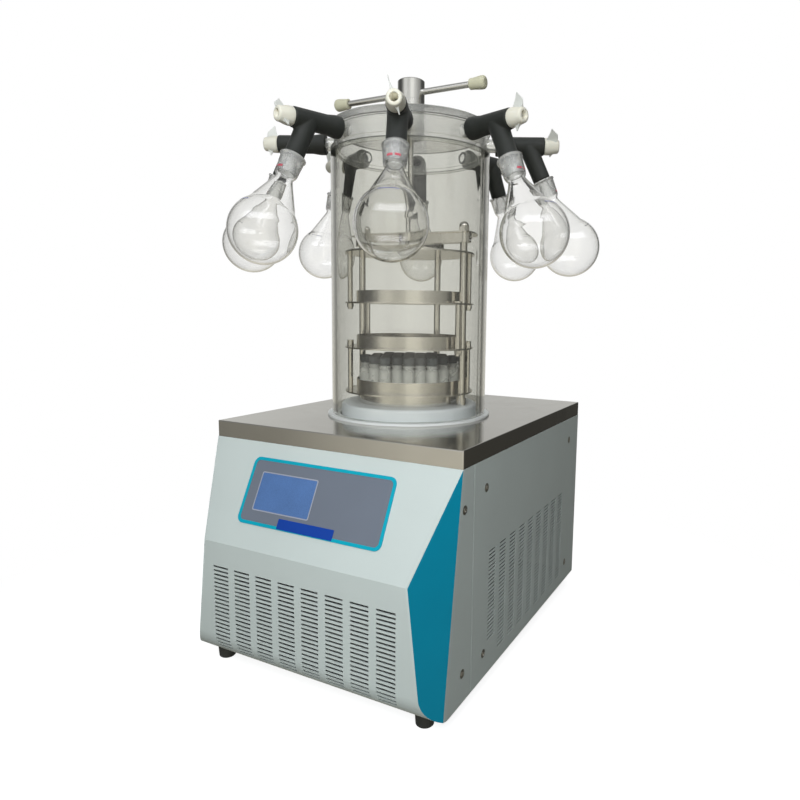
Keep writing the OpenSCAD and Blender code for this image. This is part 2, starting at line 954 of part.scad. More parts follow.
module condenser() {
    fins = floor(condenser_w / fin_pitch);
    color("silver")
        translate([-condenser_w / 2, condenser_y, floor_top]) {
            for (i = [0 : fins])
                translate([i * fin_pitch, 0, 0])
                    cube([fin_t, condenser_d, condenser_h]);
            for (k = [0 : tube_rows - 1])
                translate([-6, condenser_d / 2, (k + 0.5) * condenser_h / tube_rows])
                    rotate([0, 90, 0])
                        cylinder(fins * fin_pitch + 12 + fin_t, r = 4.5, $fn = small_fn);
        }
}

// Fan behind the condenser: motor on a bracket, blades on the motor shaft
fan_y = condenser_y + condenser_d + 22;
fan_z = floor_top + fan_r + 8;
motor_r = 32;
motor_len = 50;
shaft_r = 3;
shaft_in = 28;
blade_count = 5;
blade_chord = 48;
blade_pitch = 28;
blade_t = 2;
hub_len = 16;
hub_wide = 18;
motor_from = blade_chord / 2 * sin(blade_pitch) + 3;
bracket_w = 44;
bracket_d = 26;
plate_w = 80;
plate_d = 42;

module at_fan() {
    translate([0, fan_y, fan_z])
        rotate([-90, 0, 0])
            children();
}

module fan_motor() {
    color("gray")
        difference() {
            union() {
                at_fan()
                    translate([0, 0, motor_from]) {
                        cylinder(motor_len, r = motor_r, $fn = round_fn);
                        cylinder(motor_len + 8, r = 12, $fn = small_fn);
                    }
                translate([-bracket_w / 2, fan_y + motor_from + plate_d / 2 - bracket_d / 2, floor_top])
                    cube([bracket_w, bracket_d, fan_z - floor_top - motor_r / 2]);
                translate([-plate_w / 2, fan_y + motor_from, floor_top])
                    cube([plate_w, plate_d, sheet_t]);
            }
            at_fan()
                cylinder(motor_from + shaft_in + 2, r = shaft_r + running, $fn = small_fn);
        }
}

module fan_blade() {
    color("white")
        at_fan() {
            translate([0, 0, -hub_len / 2])
                cylinder(hub_len, r = hub_wide, $fn = round_fn);
            cylinder(motor_from + shaft_in, r = shaft_r, $fn = small_fn);
            for (i = [0 : blade_count - 1])
                rotate([0, 0, i * 360 / blade_count])
                    intersection() {
                        translate([0, 0, -blade_chord / 2])
                            pipe(fan_r, hub_wide - 2, blade_chord);
                        rotate([blade_pitch, 0, 0])
                            translate([0, -blade_chord / 2, -blade_t / 2])
                                cube([fan_r, blade_chord, blade_t]);
                    }
        }
}

// Mains inlet with a rocker switch above the socket, in one housing
inlet_flange = 3;
inlet_deep = 24;
socket_w = 20;
socket_h = 14;
rocker_w = 13;
rocker_h = 20;
rocker_gap = 0.4;
rocker_up = 13;
rocker_tilt = 8;
rocker_pivot_in = 7;
pivot_r = 1.5;

module power_inlet() {
    color("black")
        translate([inlet_x, rear_face, inlet_z]) {
            difference() {
                union() {
                    translate([-inlet_w / 2, -inlet_deep, -inlet_h / 2])
                        cube([inlet_w, inlet_deep, inlet_h]);
                    rotate([90, 0, 0])
                        translate([0, 0, -inlet_flange + 0.6])
                            linear_extrude(inlet_flange - 0.6)
                                round_rect(inlet_w + 6, inlet_h + 6, 3);
                }
                translate([-socket_w / 2, 2 - inlet_deep, -rocker_up - socket_h / 2])
                    cube([socket_w, inlet_deep + inlet_flange, socket_h]);
                translate([-rocker_w / 2 - rocker_gap, 2 - inlet_deep,
                    rocker_up - rocker_h / 2 - rocker_gap])
                    cube([rocker_w + 2 * rocker_gap, inlet_deep + inlet_flange,
                        rocker_h + 2 * rocker_gap]);
                translate([0, -rocker_pivot_in, rocker_up])
                    rotate([0, 90, 0])
                        cylinder(rocker_w + 4, r = pivot_r + running, center = true, $fn = small_fn);
            }
            for (x = [-7, 0, 7])
                translate([x - 1, 1 - inlet_deep, -rocker_up - 2])
                    cube([2, inlet_deep - 6, 4]);
        }
}

module power_switch() {
    half = rocker_h / 2 - 1.2;
    peak = rocker_pivot_in + 0.6;
    color("red")
        translate([inlet_x, rear_face - rocker_pivot_in, inlet_z + rocker_up])
            rotate([-rocker_tilt, 0, 0])
                rotate([90, 0, 90]) {
                    linear_extrude(rocker_w, center = true)
                        polygon([[-6, -4], [peak - 3, -half], [peak + 0.6, -half], [peak - 0.7, 0],
                            [peak + 0.6, half], [peak - 3, half], [-6, 4]]);
                    cylinder(rocker_w + 3, r = pivot_r, center = true, $fn = small_fn);
                }
}

module vacuum_port() {
    reach = side_x + vacuum_out - trap_r;
    rim = 4;
    color("silver")
        at_vacuum_port()
            difference() {
                union() {
                    translate([0, 0, trap_wall])
                        cylinder(reach - trap_wall, r = vacuum_r, $fn = round_fn);
                    translate([0, 0, side_x - trap_r])
                        cylinder(3, r = vacuum_flange_r + 6, $fn = round_fn);
                    translate([0, 0, reach - rim])
                        cylinder(rim, r = vacuum_flange_r, $fn = round_fn);
                    translate([0, 0, reach - rim - 3])
                        cylinder(3, r1 = vacuum_r, r2 = vacuum_flange_r, $fn = round_fn);
                }
                translate([0, 0, -over])
                    cylinder(reach + 2 * over, r = vacuum_bore, $fn = round_fn);
            }
}

// Drain: pipe from the trap's floor to a quarter-turn valve on the left side
valve_body_r = 11;
stem_r = 4;
drain_x = side_x + 20;
stem_h = 12;

module drain_valve() {
    drop = trap_floor - 10 - drain_z;
    color("goldenrod")
        difference() {
            union() {
                translate([0, 0, drain_z])
                    cylinder(drop + 10, r = drain_r, $fn = small_fn);
                translate([0, 0, drain_z])
                    sphere(drain_r, $fn = small_fn);
                translate([0, 0, drain_z])
                    rotate([-90, 0, 0])
                        cylinder(drain_y, r = drain_r, $fn = small_fn);
                translate([0, drain_y, drain_z])
                    sphere(drain_r, $fn = small_fn);
                at_drain()
                    cylinder(side_x + 40, r = drain_r, $fn = small_fn);
                at_drain()
                    translate([0, 0, side_x])
                        cylinder(8, r = valve_body_r + 3, $fn = 6);
                at_drain()
                    translate([0, 0, side_x + 8])
                        cylinder(24, r = valve_body_r, $fn = round_fn);
                translate([-drain_x, drain_y, drain_z])
                    cylinder(valve_body_r + stem_h, r = stem_r, $fn = small_fn);
            }
            at_drain()
                translate([0, 0, side_x + 22])
                    cylinder(20, r = drain_r - 2, $fn = small_fn);
        }
}

module drain_lever() {
    low = valve_body_r + seat_gap;
    color("firebrick")
        translate([-drain_x, drain_y, drain_z + low])
            difference() {
                union() {
                    cylinder(8, r = 8, $fn = small_fn);
                    translate([-4, 0, 3])
                        cube([8, lever_len - 6, 4]);
                    translate([0, lever_len - 6, 3])
                        cylinder(4, r = 6, $fn = small_fn);
                }
                translate([0, 0, -over])
                    cylinder(8 + 2 * over, r = stem_r + running, $fn = small_fn);
            }
}

// ---------------------------------------------------------------- chamber and rack

module sealing_ring() {
    color("white")
        translate([0, 0, plate_top])
            pipe(seal_r, disc_r + seal_gap, seal_t);
}

module base_disc() {
    color("aliceblue")
        translate([0, 0, plate_top])
            rotate_extrude($fn = 2 * round_fn)
                translate([disc_hole_r, 0]) {
                    w = disc_r - disc_hole_r;
                    square([w - disc_edge_r, disc_t]);
                    square([w, disc_t - disc_edge_r]);
                    translate([w - disc_edge_r, disc_t - disc_edge_r])
                        circle(disc_edge_r, $fn = small_fn);
                }
}

module rack_drum() {
    rim = 8;
    t = 2;
    color("silver")
        rotate_extrude($fn = 2 * round_fn) {
            translate([drum_r - t, disc_top])
                square([t, drum_h]);
            translate([drum_r - rim, drum_top - t])
                square([rim, t]);
            translate([drum_r - rim, disc_top])
                square([rim, t]);
        }
}

module rack_posts() {
    collar_h = 12;
    color("silver")
        at_posts()
            translate([0, 0, disc_top]) {
                cylinder(bridge_top + 14 - disc_top, r = post_r - 1, $fn = small_fn);
                cylinder(bridge_low - disc_top, r = post_r, $fn = small_fn);
                cylinder(collar_h, r = post_r + 2, $fn = small_fn);
            }
}

module acorn_nuts() {
    flat = 16;
    color("silver")
        at_posts()
            translate([0, 0, bridge_top])
                difference() {
                    union() {
                        cylinder(8, r = flat / sqrt(3), $fn = 6);
                        intersection() {
                            translate([0, 0, 9])
                                sphere(flat / 2, $fn = round_fn);
                            cylinder(30, r = flat / 2, $fn = round_fn);
                        }
                    }
                    translate([0, 0, -over])
                        cylinder(15 + over, r = post_r - 1 + 0.1, $fn = small_fn);
                }
}

// Bridge over the posts: cross bar, rear arm and a thin half-round top sheet
module rack_bridge() {
    half = bridge_w / 2;
    bar_h = bridge_h - bridge_sheet;
    color("silver")
        difference() {
            union() {
                translate([0, 0, bridge_low])
                    linear_extrude(bar_h) {
                        square([2 * post_at, bridge_w], center = true);
                        translate([0, post_at / 2])
                            square([bridge_w, post_at], center = true);
                        for (a = post_angles)
                            rotate([0, 0, a])
                                translate([post_at, 0])
                                    circle(half, $fn = small_fn);
                        circle(half + 6, $fn = round_fn);
                    }
                translate([0, 0, bridge_low + bar_h])
                    linear_extrude(bridge_sheet)
                        intersection() {
                            circle(bridge_r, $fn = 2 * round_fn);
                            translate([-bridge_r, -half - 6])
                                square([2 * bridge_r, 2 * bridge_r]);
                        }
            }
            translate([0, 0, bridge_low - over])
                cylinder(bridge_h + 2 * over, r = screw_r + slide_gap, $fn = round_fn);
            at_posts()
                translate([0, 0, bridge_low - over])
                    cylinder(bridge_h + 2 * over, r = post_r - 1 + 0.1, $fn = small_fn);
        }
}

// Round plate with holes for the posts and for one pair of rods
module rack_plate(z, t, post_hole, rod_angles) {
    translate([0, 0, z])
        difference() {
            cylinder(t, r = shelf_r, $fn = 2 * round_fn);
            translate([0, 0, -over]) {
                at_posts()
                    cylinder(t + 2 * over, r = post_hole, $fn = small_fn);
                for (a = rod_angles)
                    opposite(a, rod_at)
                        cylinder(t + 2 * over, r = rod_r + slide_gap, $fn = small_fn);
            }
        }
}

// Pair of rods with a nut at one end and a flat head of height head_h at the top
module rods(angle, low, high, nut_z, head_h) {
    opposite(angle, rod_at) {
        translate([0, 0, low])
            cylinder(high - low, r = rod_r, $fn = small_fn);
        translate([0, 0, nut_z])
            cylinder(rod_nut_h, r = rod_nut_r, $fn = 6);
        translate([0, 0, high - head_h])
            cylinder(head_h, r = rod_nut_r, $fn = small_fn);
    }
}

rod_tail = rod_nut_h + 4;
rod_head_h = 3;

module press_plate() {
    low = shelf_z[2] - rod_tail;
    color("silver") {
        rack_plate(press_low, press_t, post_r + slide_gap, []);
        rods(rod_pair_a, low, press_top, shelf_z[2] - seat_gap - rod_nut_h, press_t);
    }
}

module shelf_1() {
    low = shelf_z[1] - rod_tail;
    color("silver") {
        rack_plate(shelf_z[2], shelf_t, post_r + slide_gap, [rod_pair_a]);
        rods(rod_pair_b, low, shelf_z[2] + shelf_t + rod_head_h, shelf_z[1] - seat_gap - rod_nut_h,
            rod_head_h);
    }
}

module shelf_2() {
    color("silver")
        rack_plate(shelf_z[1], shelf_t, post_r + slide_gap, [rod_pair_a, rod_pair_b]);
}

module shelf_3() {
    high = shelf_z[1] + shelf_t + rod_tail;
    color("silver") {
        rack_plate(shelf_z[0], shelf_t, post_r + 0.1, []);
        rods(rod_pair_a, shelf_z[0], high, shelf_z[1] + shelf_t + seat_gap, rod_head_h);
    }
}

module tray(layer) {
    color("silver")
        translate([0, 0, shelf_z[layer] + shelf_t])
            rotate_extrude($fn = 2 * round_fn) {
                square([tray_r, tray_wall]);
                translate([tray_r - tray_wall, 0])
                    square([tray_wall, tray_h]);
            }
}

module tray_1() {
    tray(2);
}

module tray_2() {
    tray(1);
}

module tray_3() {
    tray(0);
}

// Vials stand close together in the lowest tray
vial_limit = tray_r - tray_wall - vial_r - vial_gap;
vial_span = ceil(tray_r / vial_pitch) + 1;
vial_places = [for (i = [-vial_span : vial_span], j = [-vial_span : vial_span])
    let (p = [vial_pitch * (i + j / 2), vial_pitch * j * sqrt(3) / 2])
    if (norm(p) <= vial_limit) p];
vial_floor = shelf_z[0] + shelf_t + tray_wall;

module vials() {
    lip = mouth_r + 3.2;
    lip_h = 3.5;
    shoulder = vial_h * 0.8;
    color("lightcyan", 0.5)
        for (p = vial_places)
            translate([p[0], p[1], vial_floor])
                rotate_extrude($fn = small_fn)
                    polygon([[0, 0], [vial_r, 0], [vial_r, shoulder], [mouth_r + 1.6, vial_h - 6],
                        [mouth_r + 1.6, vial_h - lip_h], [lip, vial_h - lip_h], [lip, vial_h],
                        [mouth_r, vial_h], [mouth_r, vial_h - 6],
                        [vial_r - vial_glass, shoulder - vial_glass],
                        [vial_r - vial_glass, vial_glass], [0, vial_glass]]);
}

module stoppers() {
    plug = 6;
    top = stopper_lift + stopper_h;
    color("darkslategray")
        for (p = vial_places)
            translate([p[0], p[1], vial_floor + vial_h])
                rotate_extrude($fn = small_fn)
                    polygon([[0, -plug], [mouth_r - 0.2, -plug], [mouth_r - 0.2, 0.2],
                        [mouth_r + 1.4, 0.2], [mouth_r + 1.4, stopper_lift],
                        [stopper_r, stopper_lift], [stopper_r, top - 1], [stopper_r - 1, top],
                        [0, top]]);
}

module chamber_tube() {
    color("lightcyan", 0.35)
        translate([0, 0, tube_low])
            difference() {
                cylinder(tube_h, r = tube_r, $fn = 2 * round_fn);
                translate([0, 0, -over])
                    cylinder(tube_h + 2 * over, r = tube_r - tube_wall, $fn = 2 * round_fn);
            }
}

// ---------------------------------------------------------------- manifold

module manifold_ring() {
    inner = wall_r - wall_t;
    color("lightcyan", 0.5)
        difference() {
            union() {
                rotate_extrude($fn = 2 * round_fn) {
                    translate([inner, tube_top])
                        square([tube_r - inner, flange_t]);
                    translate([inner, tube_top])
                        square([wall_t, flange_t + wall_h]);
                    translate([tube_r - tube_wall - 3.5, tube_top - 5])
                        square([3, 5.5]);
                }
                for (i = [0 : port_count - 1])
                    at_port(i)
                        translate([wall_r - 2, 0, 0])
                            rotate([0, 90, 0])
                                cylinder(nozzle_len + 2, r = nozzle_r, $fn = small_fn);
            }
            for (i = [0 : port_count - 1])
                at_port(i)
                    translate([inner - over, 0, 0])
                        rotate([0, 90, 0])
                            cylinder(wall_t + nozzle_len + 2 * over, r = nozzle_bore, $fn = small_fn);
        }
}

module lid_plate() {
    edge = 1.5;
    color("lightcyan", 0.5)
        translate([0, 0, lid_low])
            rotate_extrude($fn = 2 * round_fn)
                polygon([[neck_r + 0.1, 0], [tube_r - edge, 0], [tube_r, edge],
                    [tube_r, lid_t - edge], [tube_r - edge, lid_t], [neck_r + 0.1, lid_t]]);
}

module hub_base() {
    nut_t = 6;
    color("silver")
        rotate_extrude($fn = round_fn)
            difference() {
                union() {
                    translate([0, lid_top])
                        square([hub_r, hub_base_h]);
                    translate([0, lid_low - nut_t])
                        square([neck_r, lid_t + nut_t + over]);
                    translate([0, lid_low - nut_t])
                        square([hub_r - 1, nut_t]);
                    translate([0, hub_top])
                        square([spigot_r, spigot_h]);
                }
                translate([0, lid_low - nut_t - over])
                    square([screw_r + running, lid_t + nut_t + hub_base_h + spigot_h + 2 * over]);
            }
}

module hub_cap() {
    edge = 1.5;
    color("silver")
        difference() {
            rotate_extrude($fn = round_fn)
                difference() {
                    polygon([[0, cap_low], [hub_r, cap_low], [hub_r, cap_top - edge],
                        [hub_r - edge, cap_top], [0, cap_top]]);
                    translate([0, cap_low - over])
                        square([spigot_r + running, spigot_h + 1 + over]);
                }
            translate([0, 0, bar_z])
                rotate([0, 90, 0])
                    cylinder(2 * hub_r + 2 * over, r = bar_r + 0.1, center = true, $fn = small_fn);
        }
}

module t_bar() {
    color("silver")
        translate([-bar_off, 0, bar_z])
            rotate([0, 90, 0])
                cylinder(bar_len - 12, r = bar_r, center = true, $fn = small_fn);
}

module bar_grips() {
    neck = grip_r * 0.8;
    color("ivory")
        for (turn = [0, 180])
            translate([-bar_off, 0, bar_z])
                rotate([0, 0, turn])
                    translate([bar_len / 2 - grip_len, 0, 0])
                        rotate([0, 90, 0])
                        rotate_extrude($fn = small_fn)
                            difference() {
                                polygon([[0, 0], [neck - 1, 0], [neck, 1],
                                    [grip_r, grip_len - 5], [grip_r - 1, grip_len - 2],
                                    [grip_r - 4, grip_len], [0, grip_len]]);
                                translate([0, -over])
                                    square([bar_r + 0.1, grip_len - 6 + over]);
                            }
}

module press_screw() {
    low = press_top + seat_gap;
    color("dimgray")
        translate([0, 0, low])
            cylinder(hub_top + spigot_h - low - 1, r = screw_r, $fn = round_fn);
}

// ---------------------------------------------------------------- valves and flasks

adapter_in = 26;
adapter_bore = 6.5;
joint_top = branch_len + 1;
joint_end = joint_top + joint_len;
joint_taper = 0.05;
adapter_top = branch_len - adapter_in;
adapter_r = 9.5;

// Rubber tee: barrel along X with a cuff, and a leaning branch
module valve_tee() {
    barrel = valve_out - valve_in;
    difference() {
        union() {
            translate([valve_in, 0, 0])
                rotate([0, 90, 0])
                    rotate_extrude($fn = round_fn)
                        polygon([[0, 0], [cuff_r - 1, 0], [cuff_r, 1], [cuff_r, cuff_len * 0.5],
                            [valve_r, cuff_len], [valve_r, barrel], [0, barrel]]);
            on_branch()
                rotate_extrude($fn = round_fn)
                    polygon([[0, 0], [branch_r + 0.6, 0], [branch_r, branch_len * 0.6],
                        [branch_r, branch_len - 1], [branch_r - 1, branch_len], [0, branch_len]]);
        }
        translate([valve_in - over, 0, 0])
            rotate([0, 90, 0]) {
                cylinder(wall_r + nozzle_len - valve_in + 2 * over, r = nozzle_r + 0.1,
                    $fn = small_fn);
                cylinder(barrel - plug_len, r = nozzle_bore, $fn = small_fn);
            }
        translate([valve_out - plug_len - over, 0, 0])
            rotate([0, 90, 0])
                cylinder(plug_len + 2 * over, r = valve_bore + running, $fn = round_fn);
        on_branch()
            translate([0, 0, valve_r * 0.4])
                cylinder(branch_len, r = adapter_bore, $fn = small_fn);
        on_branch()
            translate([0, 0, adapter_top])
                cylinder(adapter_in + over, r = adapter_r + 0.1, $fn = small_fn);
    }
}

module valve_tees() {
    color("black")
        for (i = [0 : port_count - 1])
            at_port(i)
                valve_tee();
}

// Glass cone that joins a branch to its flask
module joint_adapters() {
    inner_r = joint_r - flask_glass - 0.1;
    tip_r = inner_r - joint_len * joint_taper - 0.9;
    color("lightcyan", 0.6)
        for (i = [0 : port_count - 1])
            at_port(i)
                on_branch()
                    rotate_extrude($fn = round_fn)
                        polygon([[adapter_bore, adapter_top], [adapter_r, adapter_top],
                            [adapter_r, branch_len], [inner_r, branch_len + 1],
                            [tip_r, joint_end - 7], [tip_r - 1.8, joint_end - 7],
                            [adapter_bore, joint_top + 8]]);
}

// Pear flask along Z: ground joint, throat, and a cone that runs into a round bulb
module flask() {
    g = flask_glass;
    lean = flask_tangent(bulb_r, throat_r);
    inner_lean = flask_tangent(bulb_r - g, throat_r - g);
    steps = 24;
    outer = [for (k = [0 : steps])
        let (a = lean + (180 - lean) * k / steps)
        [bulb_r * sin(a), bulb_at - bulb_r * cos(a)]];
    inner = [for (k = [0 : steps])
        let (a = 180 - (180 - inner_lean) * k / steps)
        [(bulb_r - g) * sin(a), bulb_at - (bulb_r - g) * cos(a)]];
    joint_low_r = joint_r - joint_len * joint_taper;
    rotate_extrude($fn = round_fn)
        polygon(concat(
            [[joint_r - g, joint_top], [joint_r + 1.6, joint_top], [joint_r + 1.6, joint_top + 3],
                [joint_r, joint_top + 4.5], [joint_low_r, joint_end - 8],
                [throat_r, joint_end], [throat_r, joint_end + 2]],
            outer, inner,
            [[throat_r - g, joint_end + 2], [throat_r - g, joint_end],
                [joint_low_r - g, joint_end - 8]]));
}

// Angle from the axis at which a cone from the throat touches the bulb
function flask_tangent(r, throat) =
    let (rise = bulb_at - joint_end - 2, reach = norm([throat, rise]))
    acos(r / reach) - 90 + acos(throat / reach);

module flasks() {
    color("lightcyan", 0.4)
        for (i = [0 : port_count - 1])
            at_port(i)
                on_branch()
                    flask();
}

// How far each knob stands turned from upright, and where its wing peaks along the knob
wing_turn = [18, 0, -45, 0, 15, -25, 52, 55];
wing_peak = 0.36;

// Knob: plug inside the barrel, round head with a vent hole, and a wing on top
module valve_knob(i) {
    tail = 7;
    peak = knob_len * wing_peak;
    face = knob_len * 0.85;
    color("ivory")
        at_port(i)
            translate([valve_out, 0, 0])
                difference() {
                    union() {
                        rotate([0, 90, 0])
                            rotate_extrude($fn = round_fn)
                                polygon([[0, -plug_len + 1], [valve_bore, -plug_len + 1],
                                    [valve_bore, seat_gap], [knob_r - 1, seat_gap],
                                    [knob_r, seat_gap + 1], [knob_r, knob_len * 0.45],
                                    [knob_r - 1.5, knob_len - 3], [knob_r - 3.5, knob_len],
                                    [0, knob_len]]);
                        rotate([90 + wing_turn[i], 0, 0])
                            linear_extrude(wing_t, center = true) {
                                polygon([[1.5, 0], [face, 0], [face + 0.5, knob_r],
                                    [face, knob_r + wing_h * 0.45], [peak + 1.5, knob_r + wing_h],
                                    [peak - 1.5, knob_r + wing_h], [1.5, knob_r]]);
                                polygon([[9, 0], [knob_len - 6, 0], [knob_len - 9, -knob_r - tail],
                                    [11, -knob_r]]);
                            }
                    }
                    rotate([0, 90, 0])
                        translate([0, 0, -plug_len])
                            cylinder(plug_len + knob_len + over, r = knob_hole, $fn = small_fn);
                }
}

module valve_knob_1() { valve_knob(0); }
module valve_knob_2() { valve_knob(1); }
module valve_knob_3() { valve_knob(2); }
module valve_knob_4() { valve_knob(3); }
module valve_knob_5() { valve_knob(4); }
module valve_knob_6() { valve_knob(5); }
module valve_knob_7() { valve_knob(6); }
module valve_knob_8() { valve_knob(7); }

base_pan();
rubber_feet();
side_panel_left();
side_panel_right();
rear_panel();
front_bezel();
corner_trim_left();
corner_trim_right();
top_plate();
case_screws();
panel_frame();
control_panel();
display_screen();
cold_trap();
trap_insulation();
evaporator_coil();
compressor();
condenser();
fan_motor();
fan_blade();
power_inlet();
power_switch();
vacuum_port();
drain_valve();
drain_lever();
sealing_ring();
base_disc();
rack_drum();
rack_posts();
rack_bridge();
acorn_nuts();
press_plate();
shelf_1();
shelf_2();
shelf_3();
tray_1();
tray_2();
tray_3();
vials();
stoppers();
chamber_tube();
manifold_ring();
lid_plate();
hub_base();
hub_cap();
t_bar();
bar_grips();
press_screw();
valve_tees();
joint_adapters();
flasks();
valve_knob_1();
valve_knob_2();
valve_knob_3();
valve_knob_4();
valve_knob_5();
valve_knob_6();
valve_knob_7();
valve_knob_8();
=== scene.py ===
"""Tabletop manifold freeze dryer: finishes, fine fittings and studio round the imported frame.

Everything is in metres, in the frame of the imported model: the chamber's axis is X = Y = 0,
the floor is Z = 0, the control panel faces -Y and the vacuum port is on the -X side.
"""
import json
import math

import bmesh
import bpy
from bpy.props import FloatProperty, FloatVectorProperty, PointerProperty
from mathutils import Matrix, Vector


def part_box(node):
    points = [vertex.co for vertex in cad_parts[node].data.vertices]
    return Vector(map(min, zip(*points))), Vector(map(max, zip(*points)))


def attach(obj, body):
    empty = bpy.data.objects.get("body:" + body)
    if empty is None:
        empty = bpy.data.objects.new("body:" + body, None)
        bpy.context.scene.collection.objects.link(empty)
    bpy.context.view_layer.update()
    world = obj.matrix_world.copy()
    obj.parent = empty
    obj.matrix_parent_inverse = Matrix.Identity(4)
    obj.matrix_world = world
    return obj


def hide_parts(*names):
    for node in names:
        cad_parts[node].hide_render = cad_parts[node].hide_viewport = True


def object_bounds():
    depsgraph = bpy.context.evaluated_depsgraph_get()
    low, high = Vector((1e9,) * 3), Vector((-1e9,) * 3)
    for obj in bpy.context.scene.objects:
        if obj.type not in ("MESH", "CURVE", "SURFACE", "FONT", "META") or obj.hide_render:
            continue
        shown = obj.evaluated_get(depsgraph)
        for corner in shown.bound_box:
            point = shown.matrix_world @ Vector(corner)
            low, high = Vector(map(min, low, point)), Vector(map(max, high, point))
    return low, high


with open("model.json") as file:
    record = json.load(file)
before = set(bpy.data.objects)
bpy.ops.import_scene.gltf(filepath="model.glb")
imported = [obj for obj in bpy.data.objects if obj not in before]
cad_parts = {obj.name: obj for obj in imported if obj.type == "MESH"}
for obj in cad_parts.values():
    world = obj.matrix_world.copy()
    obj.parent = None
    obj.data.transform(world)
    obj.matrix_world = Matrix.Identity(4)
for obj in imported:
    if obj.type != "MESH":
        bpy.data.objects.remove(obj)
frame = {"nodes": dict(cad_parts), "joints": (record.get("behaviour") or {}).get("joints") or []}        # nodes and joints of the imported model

bl_info = {
    "name": "Freeze dryer dressing",
    "version": (1, 0, 0),
    "blender": (4, 5, 0),
    "location": "View3D > Sidebar > Freeze dryer",
    "description": "Finishes, small fittings and studio for the tabletop manifold freeze dryer",
    "category": "Object",
}

MM = 0.001
CAD_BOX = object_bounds()
NODES = frame["nodes"]
JOINTS = {joint["name"]: joint for joint in frame["joints"]}
PORTS = sorted(name for name in JOINTS if name.startswith("valve_"))
KNOB_SEAT = Vector(JOINTS[PORTS[0]]["pos_m"][:2]).length    # chamber axis to a knob's seat
BODY = "cabinet"
DUST = (0.55, 0.54, 0.5, 1.0)
CREASE = 32.0           # degrees from which an edge counts as one
WELD = 0.002 * MM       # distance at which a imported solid's faces are joined
SAME_POINT = 1e-7       # points nearer than this are one
ON_AXIS = 1e-9          # a smaller radius counts as none
WING_RESTS = {"3": 50.0, "7": 17.0, "8": 37.0}      # degrees; the others stand as packed
KNOB_TAPER = ((1, 0.2), (0.985, 0.32), (0.93, 0.5), (0.85, 0.68))   # shares of both sizes
WING_ABOVE = ((11, 2.6, 20.4), (13.4, 2.9, 21), (15, 3.3, 21.2), (18, 4.4, 21.2),
              (21, 5.5, 21), (23.4, 6.3, 20.4), (26, 7, 17.6), (30, 8, 13.6),
              (33.4, 8.6, 10.6), (34.6, 9, 9.8))    # height, inner and outer edge in mm
WING_BELOW = ((-11, 7.5, 18), (-14, 9, 16), (-17, 10.4, 14.4), (-20.4, 11.6, 12.6))
RED_BAND = (86.4 * MM, 89.6 * MM)       # down a branch
BLUE_LINE = (160 * MM, 161.3 * MM)
ROOM_TONES = ((-180, 0.5), (-160, 0.6), (-140, 0.2), (-116, 0.08), (-92, 0.09), (-76, 0.3),
              (-60, 0.76), (-48, 0.84), (-26, 0.66), (-12, 0.72), (-2, 1.0), (16, 1.0),
              (30, 0.66), (62, 0.42), (80, 0.32), (92, 0.1), (134, 0.05), (158, 0.54),
              (180, 0.5))               # degrees from the bright side, and how bright it is
ROOM_TOP = (0.46, 0.46, 0.45, 1.0)
PANE_FOOT, PANE_HEAD = (0.46, 0.54), (0.82, 0.72)   # how high the window starts and ends
PANE_SIDES = (0.19, 0.11)               # shares of a turn from the bright side
FLOOR_RADIUS = 1.6
FLOOR_FADE = (0.45, 0.85)               # from the object's shadow to plain white
WHITE = (1.0, 1.0, 1.0, 1.0)
LAMPS = {"key": ((0.54, -1.45, 1.12), 1.0, (0.96, 1.0, 1.02)),      # place, side, tint
         "fill": ((-1.1, 1.3, 1.0), 1.0, (1.0, 1.0, 1.0)),
         "top": ((0.1, 0.1, 3.2), 1.8, (1.0, 1.0, 0.98))}


# ---------------------------------------------------------------- settings

def srgb(red, green, blue):
    """Linear colour of a screen colour given in 0 to 255."""
    return tuple(((c / 255 + 0.055) / 1.055) ** 2.4 if c > 10 else c / 255 / 12.92
                 for c in (red, green, blue))


def colour(name, description, red, green, blue):
    """Colour property, written as a screen colour in 0 to 255."""
    return FloatVectorProperty(name=name, description=description, subtype="COLOR", size=3,
                               min=0.0, max=1.0, default=srgb(red, green, blue))


def length(name, description, millimetres):
    """Length property, written in millimetres."""
    return FloatProperty(name=name, description=description, subtype="DISTANCE",
                         unit="LENGTH", precision=4, default=millimetres * MM)


def angle(name, description, degrees):
    """Angle property, written in degrees."""
    return FloatProperty(name=name, description=description, subtype="ANGLE", unit="ROTATION",
                         default=math.radians(degrees))


def number(name, description, value):
    """Plain number property."""
    return FloatProperty(name=name, description=description, default=value)


